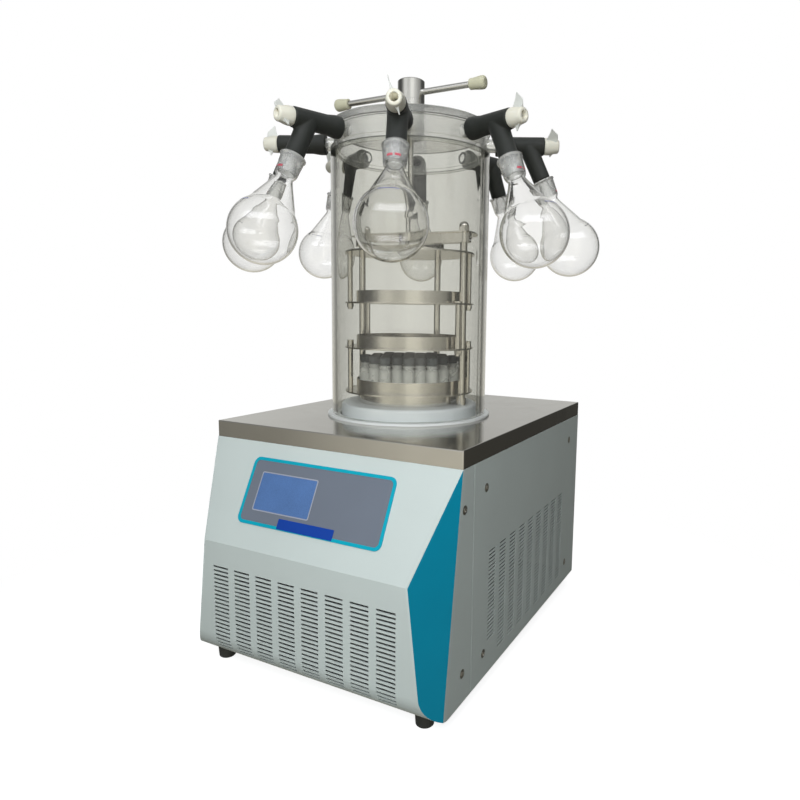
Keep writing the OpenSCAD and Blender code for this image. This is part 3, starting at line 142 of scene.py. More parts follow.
class DryerPaints(bpy.types.PropertyGroup):
    """Colours of the cabinet, its panel and the plastic and rubber pieces."""
    cabinet: colour("Cabinet", "Powder coat of the sheet-metal cabinet", 205, 214, 211)
    primer: colour("Worn edge", "Paler coat that shows where the paint is rubbed", 226, 230, 226)
    trim: colour("Corner trim", "Teal paint of the two front corner facets", 0, 131, 160)
    panel_frame: colour("Panel frame", "Teal frame round the control panel", 0, 166, 190)
    membrane: colour("Membrane", "Grey overlay of the control panel", 112, 119, 131)
    screen: colour("Screen", "Backlit liquid-crystal display", 70, 103, 152)
    screen_line: colour("Screen border", "Thin pale border round the display", 164, 167, 180)
    label: colour("Label plate", "Bare blue plate under the display", 20, 66, 160)
    ivory: colour("Ivory plastic", "Valve knobs", 236, 232, 217)
    grip: colour("Grip", "Yellowed plastic of the handle grips", 212, 209, 182)
    wing: colour("Valve wing", "Thin translucent wing of each valve knob", 240, 241, 235)
    disc: colour("Base disc", "Pale blue-white plastic under the rack", 242, 247, 255)
    seal: colour("Seal", "Translucent silicone ring under the chamber", 222, 224, 222)
    rubber: colour("Rubber", "Black rubber of the valve tees and feet", 29, 32, 29)
    stopper: colour("Stopper", "Butyl rubber of the vial stoppers", 88, 92, 93)
    lever: colour("Drain lever", "Red coat of the drain lever", 176, 34, 28)


class DryerMetals(bpy.types.PropertyGroup):
    """Tints of the bare metals."""
    plate: colour("Top plate", "Brushed stainless steel of the top plate", 186, 184, 178)
    rack: colour("Rack", "Polished stainless steel of the rack and trays", 232, 229, 224)
    hub: colour("Hub", "Polished steel of the handle and its hub", 205, 205, 202)
    screw: colour("Screws", "Zinc-plated case screws", 150, 148, 140)
    zinc: colour("Zinc sheet", "Galvanised sheet of the base pan and fan motor", 168, 170, 170)
    copper: colour("Copper", "Refrigerant tube", 196, 122, 84)
    brass: colour("Brass", "Drain pipe and valve", 192, 160, 92)


class DryerGlass(bpy.types.PropertyGroup):
    """Tints of the clear pieces and the marks on the flasks."""
    tube: colour("Chamber", "Grey tint of the acrylic chamber", 227, 227, 222)
    acrylic: colour("Manifold", "Tint of the acrylic manifold and lid", 242, 242, 238)
    flask: colour("Flask", "Tint of the flask glass", 250, 250, 249)
    vial: colour("Vial", "Tint of the moulded vials", 232, 232, 228)
    frosted: colour("Ground glass", "Frosted cones of the flask joints", 250, 250, 249)
    red_mark: colour("Red mark", "Fired mark on a flask's joint", 196, 84, 98)
    blue_mark: colour("Blue mark", "Graduation on a flask's cone", 84, 92, 160)


class DryerSizes(bpy.types.PropertyGroup):
    """Sizes of the small forms that the dressing adds."""
    sheet_edge: length("Sheet edge", "Rounding of the painted sheet's edges", 0.35)
    steel_edge: length("Steel edge", "Rounding of the rack's edges", 0.25)
    line_width: length("Border width", "Width of the pale line round the display", 1.7)
    label_width: length("Label width", "Bare label plate, across", 101)
    label_height: length("Label height", "Bare label plate, up the slope", 15.5)
    label_drop: length("Label drop", "Top of the plate to the label's upper edge", 110.5)
    thread_pitch: length("Thread pitch", "Rise of the press screw's thread in one turn", 3)
    thread_depth: length("Thread depth", "Depth of the press screw's thread", 0.8)
    branch_at: length("Branch place", "Chamber axis to where a tee's branch starts", 200)
    branch_length: length("Branch length", "Length of a tee's branch", 62)
    branch_lean: angle("Branch lean", "Angle of a branch out from the vertical", 25)
    tee_radius: length("Tee radius", "Outer radius of a rubber tee's barrel", 15)
    knob_radius: length("Knob radius", "Radius of a valve knob at its inner end", 14)
    knob_length: length("Knob length", "Length of a valve knob outside its tee", 25)
    flask_bulb: length("Bulb radius", "Outer radius of a flask's bulb", 50.5)
    flask_drop: length("Bulb place", "Tee's axis to the middle of a flask's bulb", 185)
    flask_joint: length("Joint radius", "Outer radius of a flask's ground joint", 18.3)
    flask_throat: length("Throat radius", "Outer radius of a flask's throat", 13)
    flask_glass: length("Flask wall", "Wall of a flask", 2)
    tee_fillet: length("Tee fillet", "Grain of the moulded rubber's rounding", 1.15)


class DryerStudio(bpy.types.PropertyGroup):
    """Camera and lights."""
    place: FloatVectorProperty(name="Camera", description="Where the camera stands", size=3,
                               subtype="TRANSLATION", unit="LENGTH",
                               default=(0.5869, -0.9804, 0.5689))
    lens: number("Lens", "Focal length in millimetres on a 36 mm sensor", 28.7)
    yaw: angle("Yaw", "Camera's turn from straight ahead", 27.11)
    pitch: angle("Pitch", "Camera's look downwards", 7.37)
    roll: angle("Roll", "Camera's turn about its own axis", 0.87)
    shift_x: number("Shift X", "Sideways shift of the picture", -0.064)
    shift_y: number("Shift Y", "Upward shift of the picture", -0.0085)
    key: number("Key light", "Watts of the soft light at the front", 22.0)
    top: number("Top light", "Watts of the soft light above", 15.0)
    fill: number("Fill light", "Watts of the soft light behind the left side", 12.0)
    ambient: number("Ambient", "Strength of the room's light on the object", 0.135)
    window: number("Window", "Strength of the high window that glass and metal mirror", 3.6)
    front: angle("Bright side", "Turn of the room's bright side from straight ahead", 31)


class DryerSettings(bpy.types.PropertyGroup):
    """All that a user would change."""
    paints: PointerProperty(type=DryerPaints)
    metals: PointerProperty(type=DryerMetals)
    glass: PointerProperty(type=DryerGlass)
    sizes: PointerProperty(type=DryerSizes)
    studio: PointerProperty(type=DryerStudio)


# ---------------------------------------------------------------- node helpers

class Graph:
    """Adds nodes to a tree and links them in one go."""

    def __init__(self, tree):
        self.tree = tree

    def feed(self, node, inputs):
        """Links sockets or gives them plain values; _ in a socket's name stands for a space."""
        for key, value in inputs.items():
            socket = node.inputs[key.replace("_", " ") if isinstance(key, str) else key]
            if isinstance(value, bpy.types.NodeSocket):
                self.tree.links.new(value, socket)
            else:
                socket.default_value = value

    def add(self, kind, inputs=None, **settings):
        """New node with its settings and with its sockets fed."""
        node = self.tree.nodes.new(kind)
        for key, value in settings.items():
            setattr(node, key, value)
        self.feed(node, inputs or {})
        return node

    def out(self, kind, inputs=None, **settings):
        """First output of a new node."""
        return self.add(kind, inputs, **settings).outputs[0]

    def maths(self, operation, first, second=0.0, third=0.0, clamp=False):
        """Result of a Math node."""
        return self.out("ShaderNodeMath", {0: first, 1: second, 2: third},
                        operation=operation, use_clamp=clamp)

    def blend(self, factor, first, second, mode="MIX"):
        """Colour that a Mix node makes of two colours."""
        return self.add("ShaderNodeMix", {0: factor, 6: first, 7: second},
                        data_type="RGBA", blend_type=mode).outputs[2]

    def blend_shaders(self, factor, first, second):
        """Shader that a Mix Shader node makes of two."""
        return self.out("ShaderNodeMixShader", {0: factor, 1: first, 2: second})

    def between(self, value, low, high, new_low=0.0, new_high=1.0):
        """Value brought from one range to another and held there."""
        return self.out("ShaderNodeMapRange", {0: value, 1: low, 2: high, 3: new_low,
                                               4: new_high})

    def place(self):
        """Place in the object's own frame."""
        return self.add("ShaderNodeTexCoord").outputs["Object"]

    def parts(self, vector):
        """X, Y and Z of a vector."""
        return self.add("ShaderNodeSeparateXYZ", {0: vector}).outputs

    def size(self, vector):
        """Length of a vector."""
        return self.add("ShaderNodeVectorMath", {0: vector}, operation="LENGTH").outputs["Value"]

    def noise(self, place, scale, detail, **more):
        """Smooth noise of 0 to 1 at a place."""
        return self.out("ShaderNodeTexNoise",
                        {"Vector": place, "Scale": scale, "Detail": detail, **more})

    def shared(self, name, **inputs):
        """Outputs of a node of one of the shared groups."""
        node = self.add("ShaderNodeGroup", node_tree=group(name))
        self.feed(node, inputs)
        return node.outputs


def opaque(tint):
    """Colour with full alpha."""
    return (*tint[:3], 1.0)


def shader_group(name, inputs, *outputs):
    """New shader node group, from its inputs' plain values and its outputs' names."""
    tree = bpy.data.node_groups.new(name, "ShaderNodeTree")
    for label, value in inputs.items():
        kind = "NodeSocketVector" if isinstance(value, tuple) else "NodeSocketFloat"
        socket = tree.interface.new_socket(label, in_out="INPUT", socket_type=kind)
        socket.default_value = value
    for label in outputs:
        tree.interface.new_socket(label, in_out="OUTPUT", socket_type="NodeSocketFloat")
    graph = Graph(tree)
    return graph, graph.add("NodeGroupInput").outputs


def grain_group():
    """Fine surface grain: a height, a slow cloud and a fine speckle, stretched at will."""
    graph, given = shader_group(
        "surface_grain", {"Scale": 900.0, "Stretch": (1.0, 1.0, 1.0), "Cloud Scale": 9.0},
        "Height", "Cloud", "Speckle")
    place = graph.place()
    drawn = graph.out("ShaderNodeVectorMath", {0: place, 1: given["Stretch"]},
                      operation="MULTIPLY")
    cloud = graph.noise(place, given["Cloud Scale"], 4.0, Roughness=0.55)
    cells = graph.out("ShaderNodeTexVoronoi", {"Vector": drawn, "Scale": given["Scale"]})
    graph.add("NodeGroupOutput", {
        "Height": graph.noise(drawn, given["Scale"], 3.0, Roughness=0.6),
        "Cloud": graph.between(cloud, 0.3, 0.7),
        "Speckle": graph.between(cells, 0.15, 0.6)})
    return graph.tree


def wear_group():
    """Rubbed edges: where the surface turns within Radius, broken up by a patchy noise."""
    graph, given = shader_group(
        "edge_wear", {"Radius": 0.001, "Amount": 0.5, "Patch Scale": 60.0}, "Mask")
    rounded = graph.out("ShaderNodeBevel", {"Radius": given["Radius"]}, samples=4)
    true = graph.add("ShaderNodeNewGeometry").outputs["Normal"]
    dot = graph.add("ShaderNodeVectorMath", {0: rounded, 1: true},
                    operation="DOT_PRODUCT").outputs["Value"]
    patch = graph.noise(graph.place(), given["Patch Scale"], 4.0)
    worn = graph.maths("MULTIPLY", graph.between(dot, 0.995, 0.86),
                       graph.between(patch, 0.42, 0.62))
    graph.add("NodeGroupOutput",
              {"Mask": graph.maths("MULTIPLY", worn, given["Amount"], clamp=True)})
    return graph.tree


def handling_group():
    """Traces of use: soft smudges all over and a thin dust on faces that look up."""
    graph, given = shader_group("handling_marks", {"Scale": 22.0, "Dust": 0.2},
                                "Smudge", "Dust")
    place = graph.place()
    soft = graph.noise(place, given["Scale"], 5.0, Distortion=0.7)
    fine = graph.noise(place, 340.0, 3.0)
    up = graph.parts(graph.add("ShaderNodeNewGeometry").outputs["Normal"])[2]
    lying = graph.maths("MULTIPLY", graph.between(up, 0.5, 1.0), graph.between(fine, 0.35, 0.75))
    graph.add("NodeGroupOutput", {"Smudge": graph.between(soft, 0.4, 0.7),
                                  "Dust": graph.maths("MULTIPLY", lying, given["Dust"])})
    return graph.tree


def turned_group():
    """Rings left by a lathe tool about the vertical axis, as a height."""
    graph, given = shader_group("turned_rings", {"Pitch": 0.0006}, "Height")
    parts = graph.parts(graph.place())
    radius = graph.size(graph.out("ShaderNodeCombineXYZ", {0: parts[0], 1: parts[1]}))
    turns = graph.maths("DIVIDE", graph.maths("ADD", radius, parts[2]), given["Pitch"])
    ring = graph.out("ShaderNodeTexNoise", {"W": turns, "Scale": 1.0, "Detail": 2.0},
                     noise_dimensions="1D")
    graph.add("NodeGroupOutput", {"Height": ring})
    return graph.tree


def shade_group():
    """Geometry nodes that weld a solid's faces and shade them smooth up to an angle."""
    tree = bpy.data.node_groups.new("shade_by_angle", "GeometryNodeTree")
    tree.interface.new_socket("Geometry", in_out="INPUT", socket_type="NodeSocketGeometry")
    limit = tree.interface.new_socket("Angle", in_out="INPUT", socket_type="NodeSocketFloat")
    limit.default_value = math.radians(CREASE)
    tree.interface.new_socket("Geometry", in_out="OUTPUT", socket_type="NodeSocketGeometry")
    graph = Graph(tree)
    given = graph.add("NodeGroupInput").outputs
    bare = graph.out("GeometryNodeRemoveAttribute", {0: given[0], "Name": "custom_normal"})
    smooth = graph.out("GeometryNodeSetShadeSmooth", {0: bare, "Shade Smooth": True},
                       domain="FACE")
    turn = graph.out("GeometryNodeInputMeshEdgeAngle")
    sharp = graph.out("FunctionNodeCompare", {0: turn, 1: given[1]}, data_type="FLOAT",
                      operation="GREATER_THAN")
    done = graph.out("GeometryNodeSetShadeSmooth",
                     {0: smooth, "Selection": sharp, "Shade Smooth": False}, domain="EDGE")
    graph.add("NodeGroupOutput", {0: done})
    return tree


GROUPS = {}


def group(name):
    """The shared node group of that name, built on first use."""
    makers = {"grain": grain_group, "wear": wear_group, "handling": handling_group,
              "turned": turned_group, "shade": shade_group}
    if name not in GROUPS:
        GROUPS[name] = makers[name]()
    return GROUPS[name]


# ---------------------------------------------------------------- materials

def new_material(name):
    """Empty node material: its graph, its Principled BSDF and its output."""
    material = bpy.data.materials.new(name)
    material.use_nodes = True
    material.node_tree.nodes.clear()
    graph = Graph(material.node_tree)
    shader = graph.add("ShaderNodeBsdfPrincipled")
    result = graph.add("ShaderNodeOutputMaterial", {0: shader.outputs[0]})
    return material, graph, shader, result


def surface(name, tint, rough, metal=0.0, scale=900.0, stretch=(1.0, 1.0, 1.0), depth=0.00002,
            tone=0.08, play=0.08, wear=0.0, worn=None, dust=0.12, rings=None, cloud=9.0,
            **plain):
    """Opaque finish: tint mottled by the grain, roughness moved by grain and smudges, fine
    relief, rubbed edges and dust. The rest are constants for the shader's own sockets."""
    material, graph, shader, _ = new_material(name)
    grain = graph.shared("grain", Scale=scale, Stretch=stretch, Cloud_Scale=cloud)
    marks = graph.shared("handling", Dust=dust)
    dark = tuple(c * (1 - tone) for c in tint[:3])
    light = tuple(min(1.0, c * (1 + tone * 0.5)) for c in tint[:3])
    base = graph.blend(grain["Cloud"], opaque(dark), opaque(light))
    base = graph.blend(marks["Dust"], base, DUST)
    gloss = graph.maths("MULTIPLY_ADD", grain["Height"], play, rough - play / 2)
    gloss = graph.maths("MULTIPLY_ADD", marks["Smudge"], play * 0.6, gloss)
    if wear:
        rubbed = graph.shared("wear", Amount=wear)["Mask"]
        base = graph.blend(rubbed, base, opaque(worn or light))
        gloss = graph.maths("MULTIPLY_ADD", rubbed, -0.1, gloss)
    relief = graph.shared("turned", Pitch=rings)["Height"] if rings else grain["Height"]
    bump = graph.out("ShaderNodeBump", {"Height": relief, "Distance": depth, "Strength": 1.0})
    graph.feed(shader, dict(Base_Color=base, Roughness=gloss, Normal=bump, Metallic=metal,
                            **plain))
    return material


def clear(name, tint, rough, ior, haze, depth=0.00001, through=1.0):
    """Glass or acrylic with faint smears, milky where less light goes through; shadow and
    soft light pass it."""
    material, graph, shader, result = new_material(name)
    cloud = graph.shared("grain")["Cloud"]
    pale = tuple(c * 0.985 for c in tint[:3])
    base = graph.blend(cloud, opaque(pale), opaque(tint))
    gloss = graph.maths("MULTIPLY_ADD", graph.shared("handling")["Smudge"], haze, rough)
    bump = graph.out("ShaderNodeBump", {"Height": cloud, "Distance": depth})
    graph.feed(shader, dict(Base_Color=base, Roughness=gloss, Normal=bump,
                            Transmission_Weight=through, IOR=ior))
    path = graph.add("ShaderNodeLightPath").outputs
    soft = graph.maths("MAXIMUM", path["Is Shadow Ray"], path["Is Diffuse Ray"])
    open_way = graph.out("ShaderNodeBsdfTransparent", {0: (0.96, 0.96, 0.95, 1.0)})
    graph.feed(result, {0: graph.blend_shaders(soft, shader.outputs[0], open_way)})
    return material


def display_glass(name, tint):
    """Backlit display: a soft glow, a fine cell grid and a glossy cover."""
    material, graph, shader, _ = new_material(name)
    grain = graph.shared("grain", Scale=700.0, Cloud_Scale=26.0)
    deep = tuple(c * 0.78 for c in tint[:3])
    glow = graph.blend(grain["Cloud"], opaque(deep), opaque(tint))
    cells = graph.blend(graph.maths("MULTIPLY", grain["Speckle"], 0.3), glow,
                        opaque(tuple(min(1.0, c * 1.5) for c in tint[:3])))
    gloss = graph.between(grain["Height"], 0.3, 0.7, 0.3, 0.42)
    graph.feed(shader, dict(Base_Color=cells, Emission_Color=cells, Roughness=gloss,
                            Emission_Strength=0.2, Coat_Weight=0.25, Coat_Roughness=0.3))
    return material


def finishes(rows):
    """Opaque materials from rows of a tint, a roughness and the rest of surface's values."""
    return {name: surface(name, tint, rough, **rest)
            for name, (tint, rough, rest) in rows.items()}


def painted_materials(paints, metals):
    """Paints, plastics, rubbers and foam, by material slot."""
    def glow(weight, reach, radius=(1.0, 1.0, 1.0)):
        return {"Subsurface_Weight": weight, "Subsurface_Scale": reach,
                "Subsurface_Radius": radius}

    creamy = (1.0, 0.93, 0.8)
    return finishes({
        "cabinet_paint": (paints.cabinet, 0.42, dict(
            scale=1100, depth=0.00002, tone=0.03, wear=0.5, worn=paints.primer,
            Coat_Weight=0.1, Coat_Roughness=0.4)),
        "teal_trim": (paints.trim, 0.38, dict(
            scale=1100, depth=0.00002, tone=0.06, wear=0.25, worn=srgb(40, 150, 172),
            Specular_IOR_Level=0.18)),
        "teal_frame": (paints.panel_frame, 0.34, dict(
            scale=1500, depth=0.00001, tone=0.05, wear=0.2, worn=srgb(90, 190, 204),
            Specular_IOR_Level=0.3)),
        "panel_membrane": (paints.membrane, 0.5, dict(
            scale=2600, depth=0.00002, tone=0.05, Specular_IOR_Level=0.35)),
        "screen_line": (paints.screen_line, 0.4, dict(scale=1500, depth=0.00001)),
        "label_blue": (paints.label, 0.4, dict(
            scale=1800, depth=0.00001, tone=0.1, Specular_IOR_Level=0.25)),
        "foam": (srgb(196, 186, 140), 0.9, dict(scale=520, depth=0.0008, tone=0.25)),
        "black_enamel": (srgb(30, 31, 33), 0.3, dict(scale=700, depth=0.00003, dust=0.35)),
        "fan_plastic": (srgb(196, 198, 196), 0.45, dict(dust=0.3)),
        "black_plastic": (srgb(34, 35, 36), 0.45, dict(scale=1600, depth=0.00003)),
        "rocker_plastic": (srgb(52, 22, 22), 0.35, dict(scale=1600)),
        "lever_paint": (paints.lever, 0.4, dict(wear=0.6, worn=srgb(150, 140, 130))),
        "black_rubber": (paints.rubber, 0.62, dict(
            scale=1300, depth=0.00006, tone=0.22, play=0.16, dust=0.1, cloud=26.0,
            Sheen_Weight=0.06)),
        "stopper_rubber": (paints.stopper, 0.55, dict(scale=1500, depth=0.00004, tone=0.15)),
        "seal_silicone": (paints.seal, 0.45, dict(
            scale=900, depth=0.00003, tone=0.05, **glow(0.2, 0.002))),
        "base_plastic": (paints.disc, 0.3, dict(
            scale=900, tone=0.05, depth=0.00001, rings=0.0009, **glow(0.15, 0.003))),
        "ivory_plastic": (paints.ivory, 0.4, dict(
            scale=1200, tone=0.06, **glow(0.2, 0.002, creamy))),
        "grip_plastic": (paints.grip, 0.42, dict(
            scale=1200, tone=0.08, **glow(0.15, 0.002, creamy))),
        "valve_wing": (paints.wing, 0.38, dict(
            scale=800, tone=0.04, Transmission_Weight=0.25, IOR=1.45)),
        "screw_steel": (metals.screw, 0.34, dict(metal=1.0, scale=1500, tone=0.2)),
    })


def metal_materials(metals):
    """Bare metals, by material slot."""
    return finishes({
        "plate_steel": (metals.plate, 0.12, dict(
            metal=1.0, scale=700, stretch=(0.03, 1.0, 1.0), depth=0.0000025, tone=0.05,
            play=0.1, dust=0.05)),
        "rack_steel": (metals.rack, 0.14, dict(
            metal=1.0, scale=900, stretch=(1.0, 1.0, 0.05), depth=0.000002, tone=0.06,
            play=0.1, dust=0.03)),
        "hub_steel": (metals.hub, 0.16, dict(
            metal=1.0, depth=0.000004, tone=0.06, play=0.1, rings=0.0004, dust=0.05)),
        "zinc_sheet": (metals.zinc, 0.42, dict(
            metal=1.0, scale=90, tone=0.2, depth=0.00001, cloud=60.0, dust=0.3)),
        "copper": (metals.copper, 0.3, dict(metal=1.0, scale=500, tone=0.2)),
        "fin_aluminium": (srgb(176, 178, 180), 0.35, dict(metal=1.0, scale=900, dust=0.3)),
        "valve_brass": (metals.brass, 0.28, dict(
            metal=1.0, scale=900, tone=0.12, wear=0.5, worn=srgb(226, 200, 140))),
    })


def glass_materials(glass, paints):
    """Clear pieces, the marks on them and the display, by material slot."""
    make = finishes({
        "red_mark": (glass.red_mark, 0.4, dict(scale=2200, tone=0.2)),
        "blue_mark": (glass.blue_mark, 0.4, dict(scale=2200, tone=0.2)),
    })
    for name, tint, rough, ior, rest in (
            ("chamber_acrylic", glass.tube, 0.0, 1.49, dict(haze=0.02)),
            ("clear_acrylic", glass.acrylic, 0.06, 1.49, dict(haze=0.1, through=0.86)),
            ("vial_glass", glass.vial, 0.24, 1.4, dict(haze=0.1, through=0.62)),
            ("clear_glass", glass.flask, 0.0, 1.44, dict(haze=0.02, depth=0.00004)),
            ("ground_glass", glass.frosted, 0.2, 1.38, dict(haze=0.12, through=0.9))):
        make[name] = clear(name, tint, rough, ior, **rest)
    make["display_glass"] = display_glass("display_glass", paints.screen)
    return make


MATERIALS = {}


def material(name):
    """The finish of that name; all of them are made on first use."""
    if not MATERIALS:
        settings = bpy.context.scene.freeze_dryer
        MATERIALS.update(painted_materials(settings.paints, settings.metals))
        MATERIALS.update(metal_materials(settings.metals))
        MATERIALS.update(glass_materials(settings.glass, settings.paints))
    return MATERIALS[name]


# ---------------------------------------------------------------- mesh helpers

def modifier(obj, name, kind, **settings):
    """New modifier with its settings."""
    made = obj.modifiers.new(name, kind)
    for key, value in settings.items():
        setattr(made, key, value)
    return made


def dress(node, finish, edge=0.0, crease=CREASE):
    """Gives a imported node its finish, and rounds its edges by a bevel where edge is set;
    on such a node, faces that meet at more than the crease angle are shaded apart."""
    obj = NODES[node]
    obj.data.materials.clear()
    obj.data.materials.append(material(finish))
    if edge:
        modifier(obj, "weld", "WELD", merge_threshold=WELD)
        modifier(obj, "flat faces", "DECIMATE", decimate_type="DISSOLVE",
                 angle_limit=math.radians(0.3))
        modifier(obj, "edge rounding", "BEVEL", width=edge, segments=2,
                 limit_method="ANGLE", angle_limit=math.radians(CREASE))
        shade = modifier(obj, "shading", "NODES", node_group=group("shade"))
        for socket in shade.node_group.interface.items_tree:
            if socket.name == "Angle":
                shade[socket.identifier] = math.radians(crease)
        modifier(obj, "flat shading of flat faces", "WEIGHTED_NORMAL", keep_sharp=True)
    return obj


def dress_all(*rows):
    """Dresses nodes by rows of a node, its finish and the rounding of its edges in mm."""
    for node, finish, edge in rows:
        dress(node, finish, edge * MM)


def mended(mesh_data):
    """The same bmesh with double points welded and its faces turned outwards."""
    bmesh.ops.remove_doubles(mesh_data, verts=mesh_data.verts, dist=SAME_POINT)
    bmesh.ops.recalc_face_normals(mesh_data, faces=mesh_data.faces)
    return mesh_data


def mesh_from(name, mesh_data):
    """Mesh made from a bmesh, which is freed."""
    mesh = bpy.data.meshes.new(name)
    mesh_data.to_mesh(mesh)
    mesh_data.free()
    return mesh


def put(name, data):
    """New object in the scene."""
    obj = bpy.data.objects.new(name, data)
    bpy.context.scene.collection.objects.link(obj)
    return obj


def piece(name, mesh_data, finishes, body, replaces=(), smooth=CREASE):
    """A new object from a bmesh, riding on a body and standing for the nodes it replaces."""
    mesh = mesh_from(name, mended(mesh_data))
    mesh.shade_smooth()
    mesh.set_sharp_from_angle(angle=math.radians(smooth))
    for finish in finishes:
        mesh.materials.append(material(finish))
    obj = put(name, mesh)
    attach(obj, body)
    if replaces:
        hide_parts(*replaces)
    return obj


def turned(radius, turn, z):
    """Point at a radius and a turn about Z."""
    return Vector((radius * math.cos(turn), radius * math.sin(turn), z))


def circle(steps):
    """Turns of the equal steps round a circle."""
    return [2 * math.pi * k / steps for k in range(steps)]


def loop(mesh_data, points, placed=Matrix()):
    """New vertices at the points, moved by a matrix."""
    return [mesh_data.verts.new(placed @ Vector(point)) for point in points]


def bridge(mesh_data, here, there):
    """Faces between two closed loops of vertices."""
    for i in range(len(here)):
        j = (i + 1) % len(here)
        mesh_data.faces.new((here[i], here[j], there[j], there[i]))


def stack(mesh_data, loops):
    """Faces from each loop of vertices to the next, with both ends closed."""
    for here, there in zip(loops, loops[1:]):
        bridge(mesh_data, here, there)
    mesh_data.faces.new(loops[0])
    mesh_data.faces.new(loops[-1])


def lathe(mesh_data, profile, steps, placed, kinds=None):
    """Closed profile of (radius, height) turned about Z; kinds gives each side's material."""
    rings = [loop(mesh_data, [turned(r, turn, z) for r, z in profile], placed)
             for turn in circle(steps)]
    count = len(profile)
    for here, there in zip(rings, rings[1:] + rings[:1]):
        for i in range(count):
            j = (i + 1) % count
            corners = [here[i], here[j]]
            corners += [there[side] for side in (j, i) if profile[side][0] >= ON_AXIS]
            if len(corners) > 2:
                face = mesh_data.faces.new(corners)
                face.material_index = kinds[i] if kinds else 0


def turns_between(first, last, steps):
    """Turns in radians from one angle in degrees to another."""
    return [math.radians(first + (last - first) * k / steps) for k in range(steps + 1)]


def arc(centre_x, centre_y, radius, first, last, steps):
    """Points on part of a circle in a plane; 0 degrees points along its first axis."""
    return [(centre_x + radius * math.cos(turn), centre_y + radius * math.sin(turn))
            for turn in turns_between(first, last, steps)]


def round_rectangle(width, height, radius):
    """Outline of a rectangle with round corners, centred."""
    points = []
    for corner, (sx, sy) in enumerate(((1, 1), (-1, 1), (-1, -1), (1, -1))):
        points += arc(sx * (width / 2 - radius), sy * (height / 2 - radius), radius,
                      90 * corner, 90 * corner + 90, 8)
    return points


def slab(mesh_data, outline, low, high, placed, hole=None):
    """Plate between two heights with that outline, and a hole of the same corner count."""
    outer, inner = [[loop(mesh_data, [(x, y, z) for x, y in shape], placed)
                     for z in (low, high)] for shape in (outline, hole or ())]
    if hole:
        for here, there in (outer, inner, (outer[0], inner[0]), (outer[1], inner[1])):
            bridge(mesh_data, here, there)
    else:
        stack(mesh_data, outer)


def slope_frame():
    """Frame on the sloping front: X across, Y up the slope, Z out of it, from its top edge."""
    plate_low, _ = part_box("top_plate")
    low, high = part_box("panel_frame")
    sheet = 1.6 * MM
    lean = math.radians(25)
    for _ in range(4):
        lean = math.atan2(high.y - low.y - sheet * math.cos(lean),
                          high.z - low.z - sheet * math.sin(lean))
    return (Matrix.Translation((0, plate_low.y, plate_low.z))
            @ Matrix.Rotation(math.pi / 2 - lean, 4, "X"))


def port_frame(joint):
    """Frame of a port: X outwards from the chamber, Z up, at the height of its axis."""
    outwards = Vector(JOINTS[joint]["axis"])
    height = JOINTS[joint]["pos_m"][2]
    return (Matrix.Translation((0, 0, height))
            @ Matrix.Rotation(math.atan2(outwards.y, outwards.x), 4, "Z"))


def branch(sizes):
    """Frame of a tee's branch in its port's frame: Z runs down it, away from the barrel."""
    return (Matrix.Translation((sizes.branch_at, 0, 0))
            @ Matrix.Rotation(math.pi - sizes.branch_lean, 4, "Y"))


def clusters(node, reach):
    """Boxes of a node's separate solids, taken as groups of points within reach."""
    found = []
    for vertex in NODES[node].data.vertices:
        point = vertex.co
        for row in found:
            if (point - row[2]).length < reach:
                row[0] = Vector(map(min, row[0], point))
                row[1] = Vector(map(max, row[1], point))
                break
        else:
            found.append([point.copy(), point.copy(), point.copy()])
    return [(low, high) for low, high, _ in found]


# ---------------------------------------------------------------- cabinet

def screw_head(mesh_data, placed, radius, height):
    """Pan head with a pressed cross, standing on z = 0."""
    rings, steps, dome = 14, 48, 7 * MM
    slot_half, slot_reach, slot_deep = 0.62 * MM, 2.6 * MM, 1.3 * MM
    brink, slant, rise = 1.25, 0.35, 0.35    # the slot's wall and how its floor climbs

    def face_point(r, turn):
        x, y = abs(r * math.cos(turn)), abs(r * math.sin(turn))
        along = max(x, y) / slot_reach
        wall = max(min(x, y) / slot_half, along)
        share = min(1.0, max(0.0, (brink - wall) / slant))
        top = height - dome + math.sqrt(dome * dome - r * r)
        return turned(r, turn, top - slot_deep * share * (1 - rise * along))

    rows = [loop(mesh_data, [face_point(radius * i / rings, turn) for turn in circle(steps)],
                 placed) for i in range(1, rings + 1)]
    rows.append(loop(mesh_data, [turned(radius, turn, 0) for turn in circle(steps)], placed))
    centre = loop(mesh_data, [face_point(0, 0)], placed)[0]
    for here, there in zip(rows[0], rows[0][1:] + rows[0][:1]):
        mesh_data.faces.new((centre, here, there))
    for inner, outer in zip(rows, rows[1:]):
        bridge(mesh_data, outer, inner)
    mesh_data.faces.new(rows[-1])


class DRYER_OT_cabinet(bpy.types.Operator):
    """Paints the cabinet's sheet metal and finishes the top plate, pan and feet"""
    bl_idname = "dryer.cabinet"
    bl_label = "Cabinet"

    def execute(self, context):
        sizes = context.scene.freeze_dryer.sizes
        for node in ("front_bezel", "side_panel_left", "side_panel_right", "rear_panel"):
            dress(node, "cabinet_paint", sizes.sheet_edge, crease=14)
        for node in ("corner_trim_left", "corner_trim_right"):
            trim = dress(node, "teal_trim", sizes.sheet_edge)
            trim.data.materials.append(material("cabinet_paint"))
            faces = trim.data.polygons
            out = max(faces, key=lambda face: face.area).normal
            for face in faces:
                face.material_index = 0 if abs(face.normal.dot(out)) > 0.9 else 1
        dress("top_plate", "plate_steel", sizes.sheet_edge)
        dress("base_pan", "zinc_sheet")
        dress("rubber_feet", "black_rubber", sizes.sheet_edge)
        return {"FINISHED"}


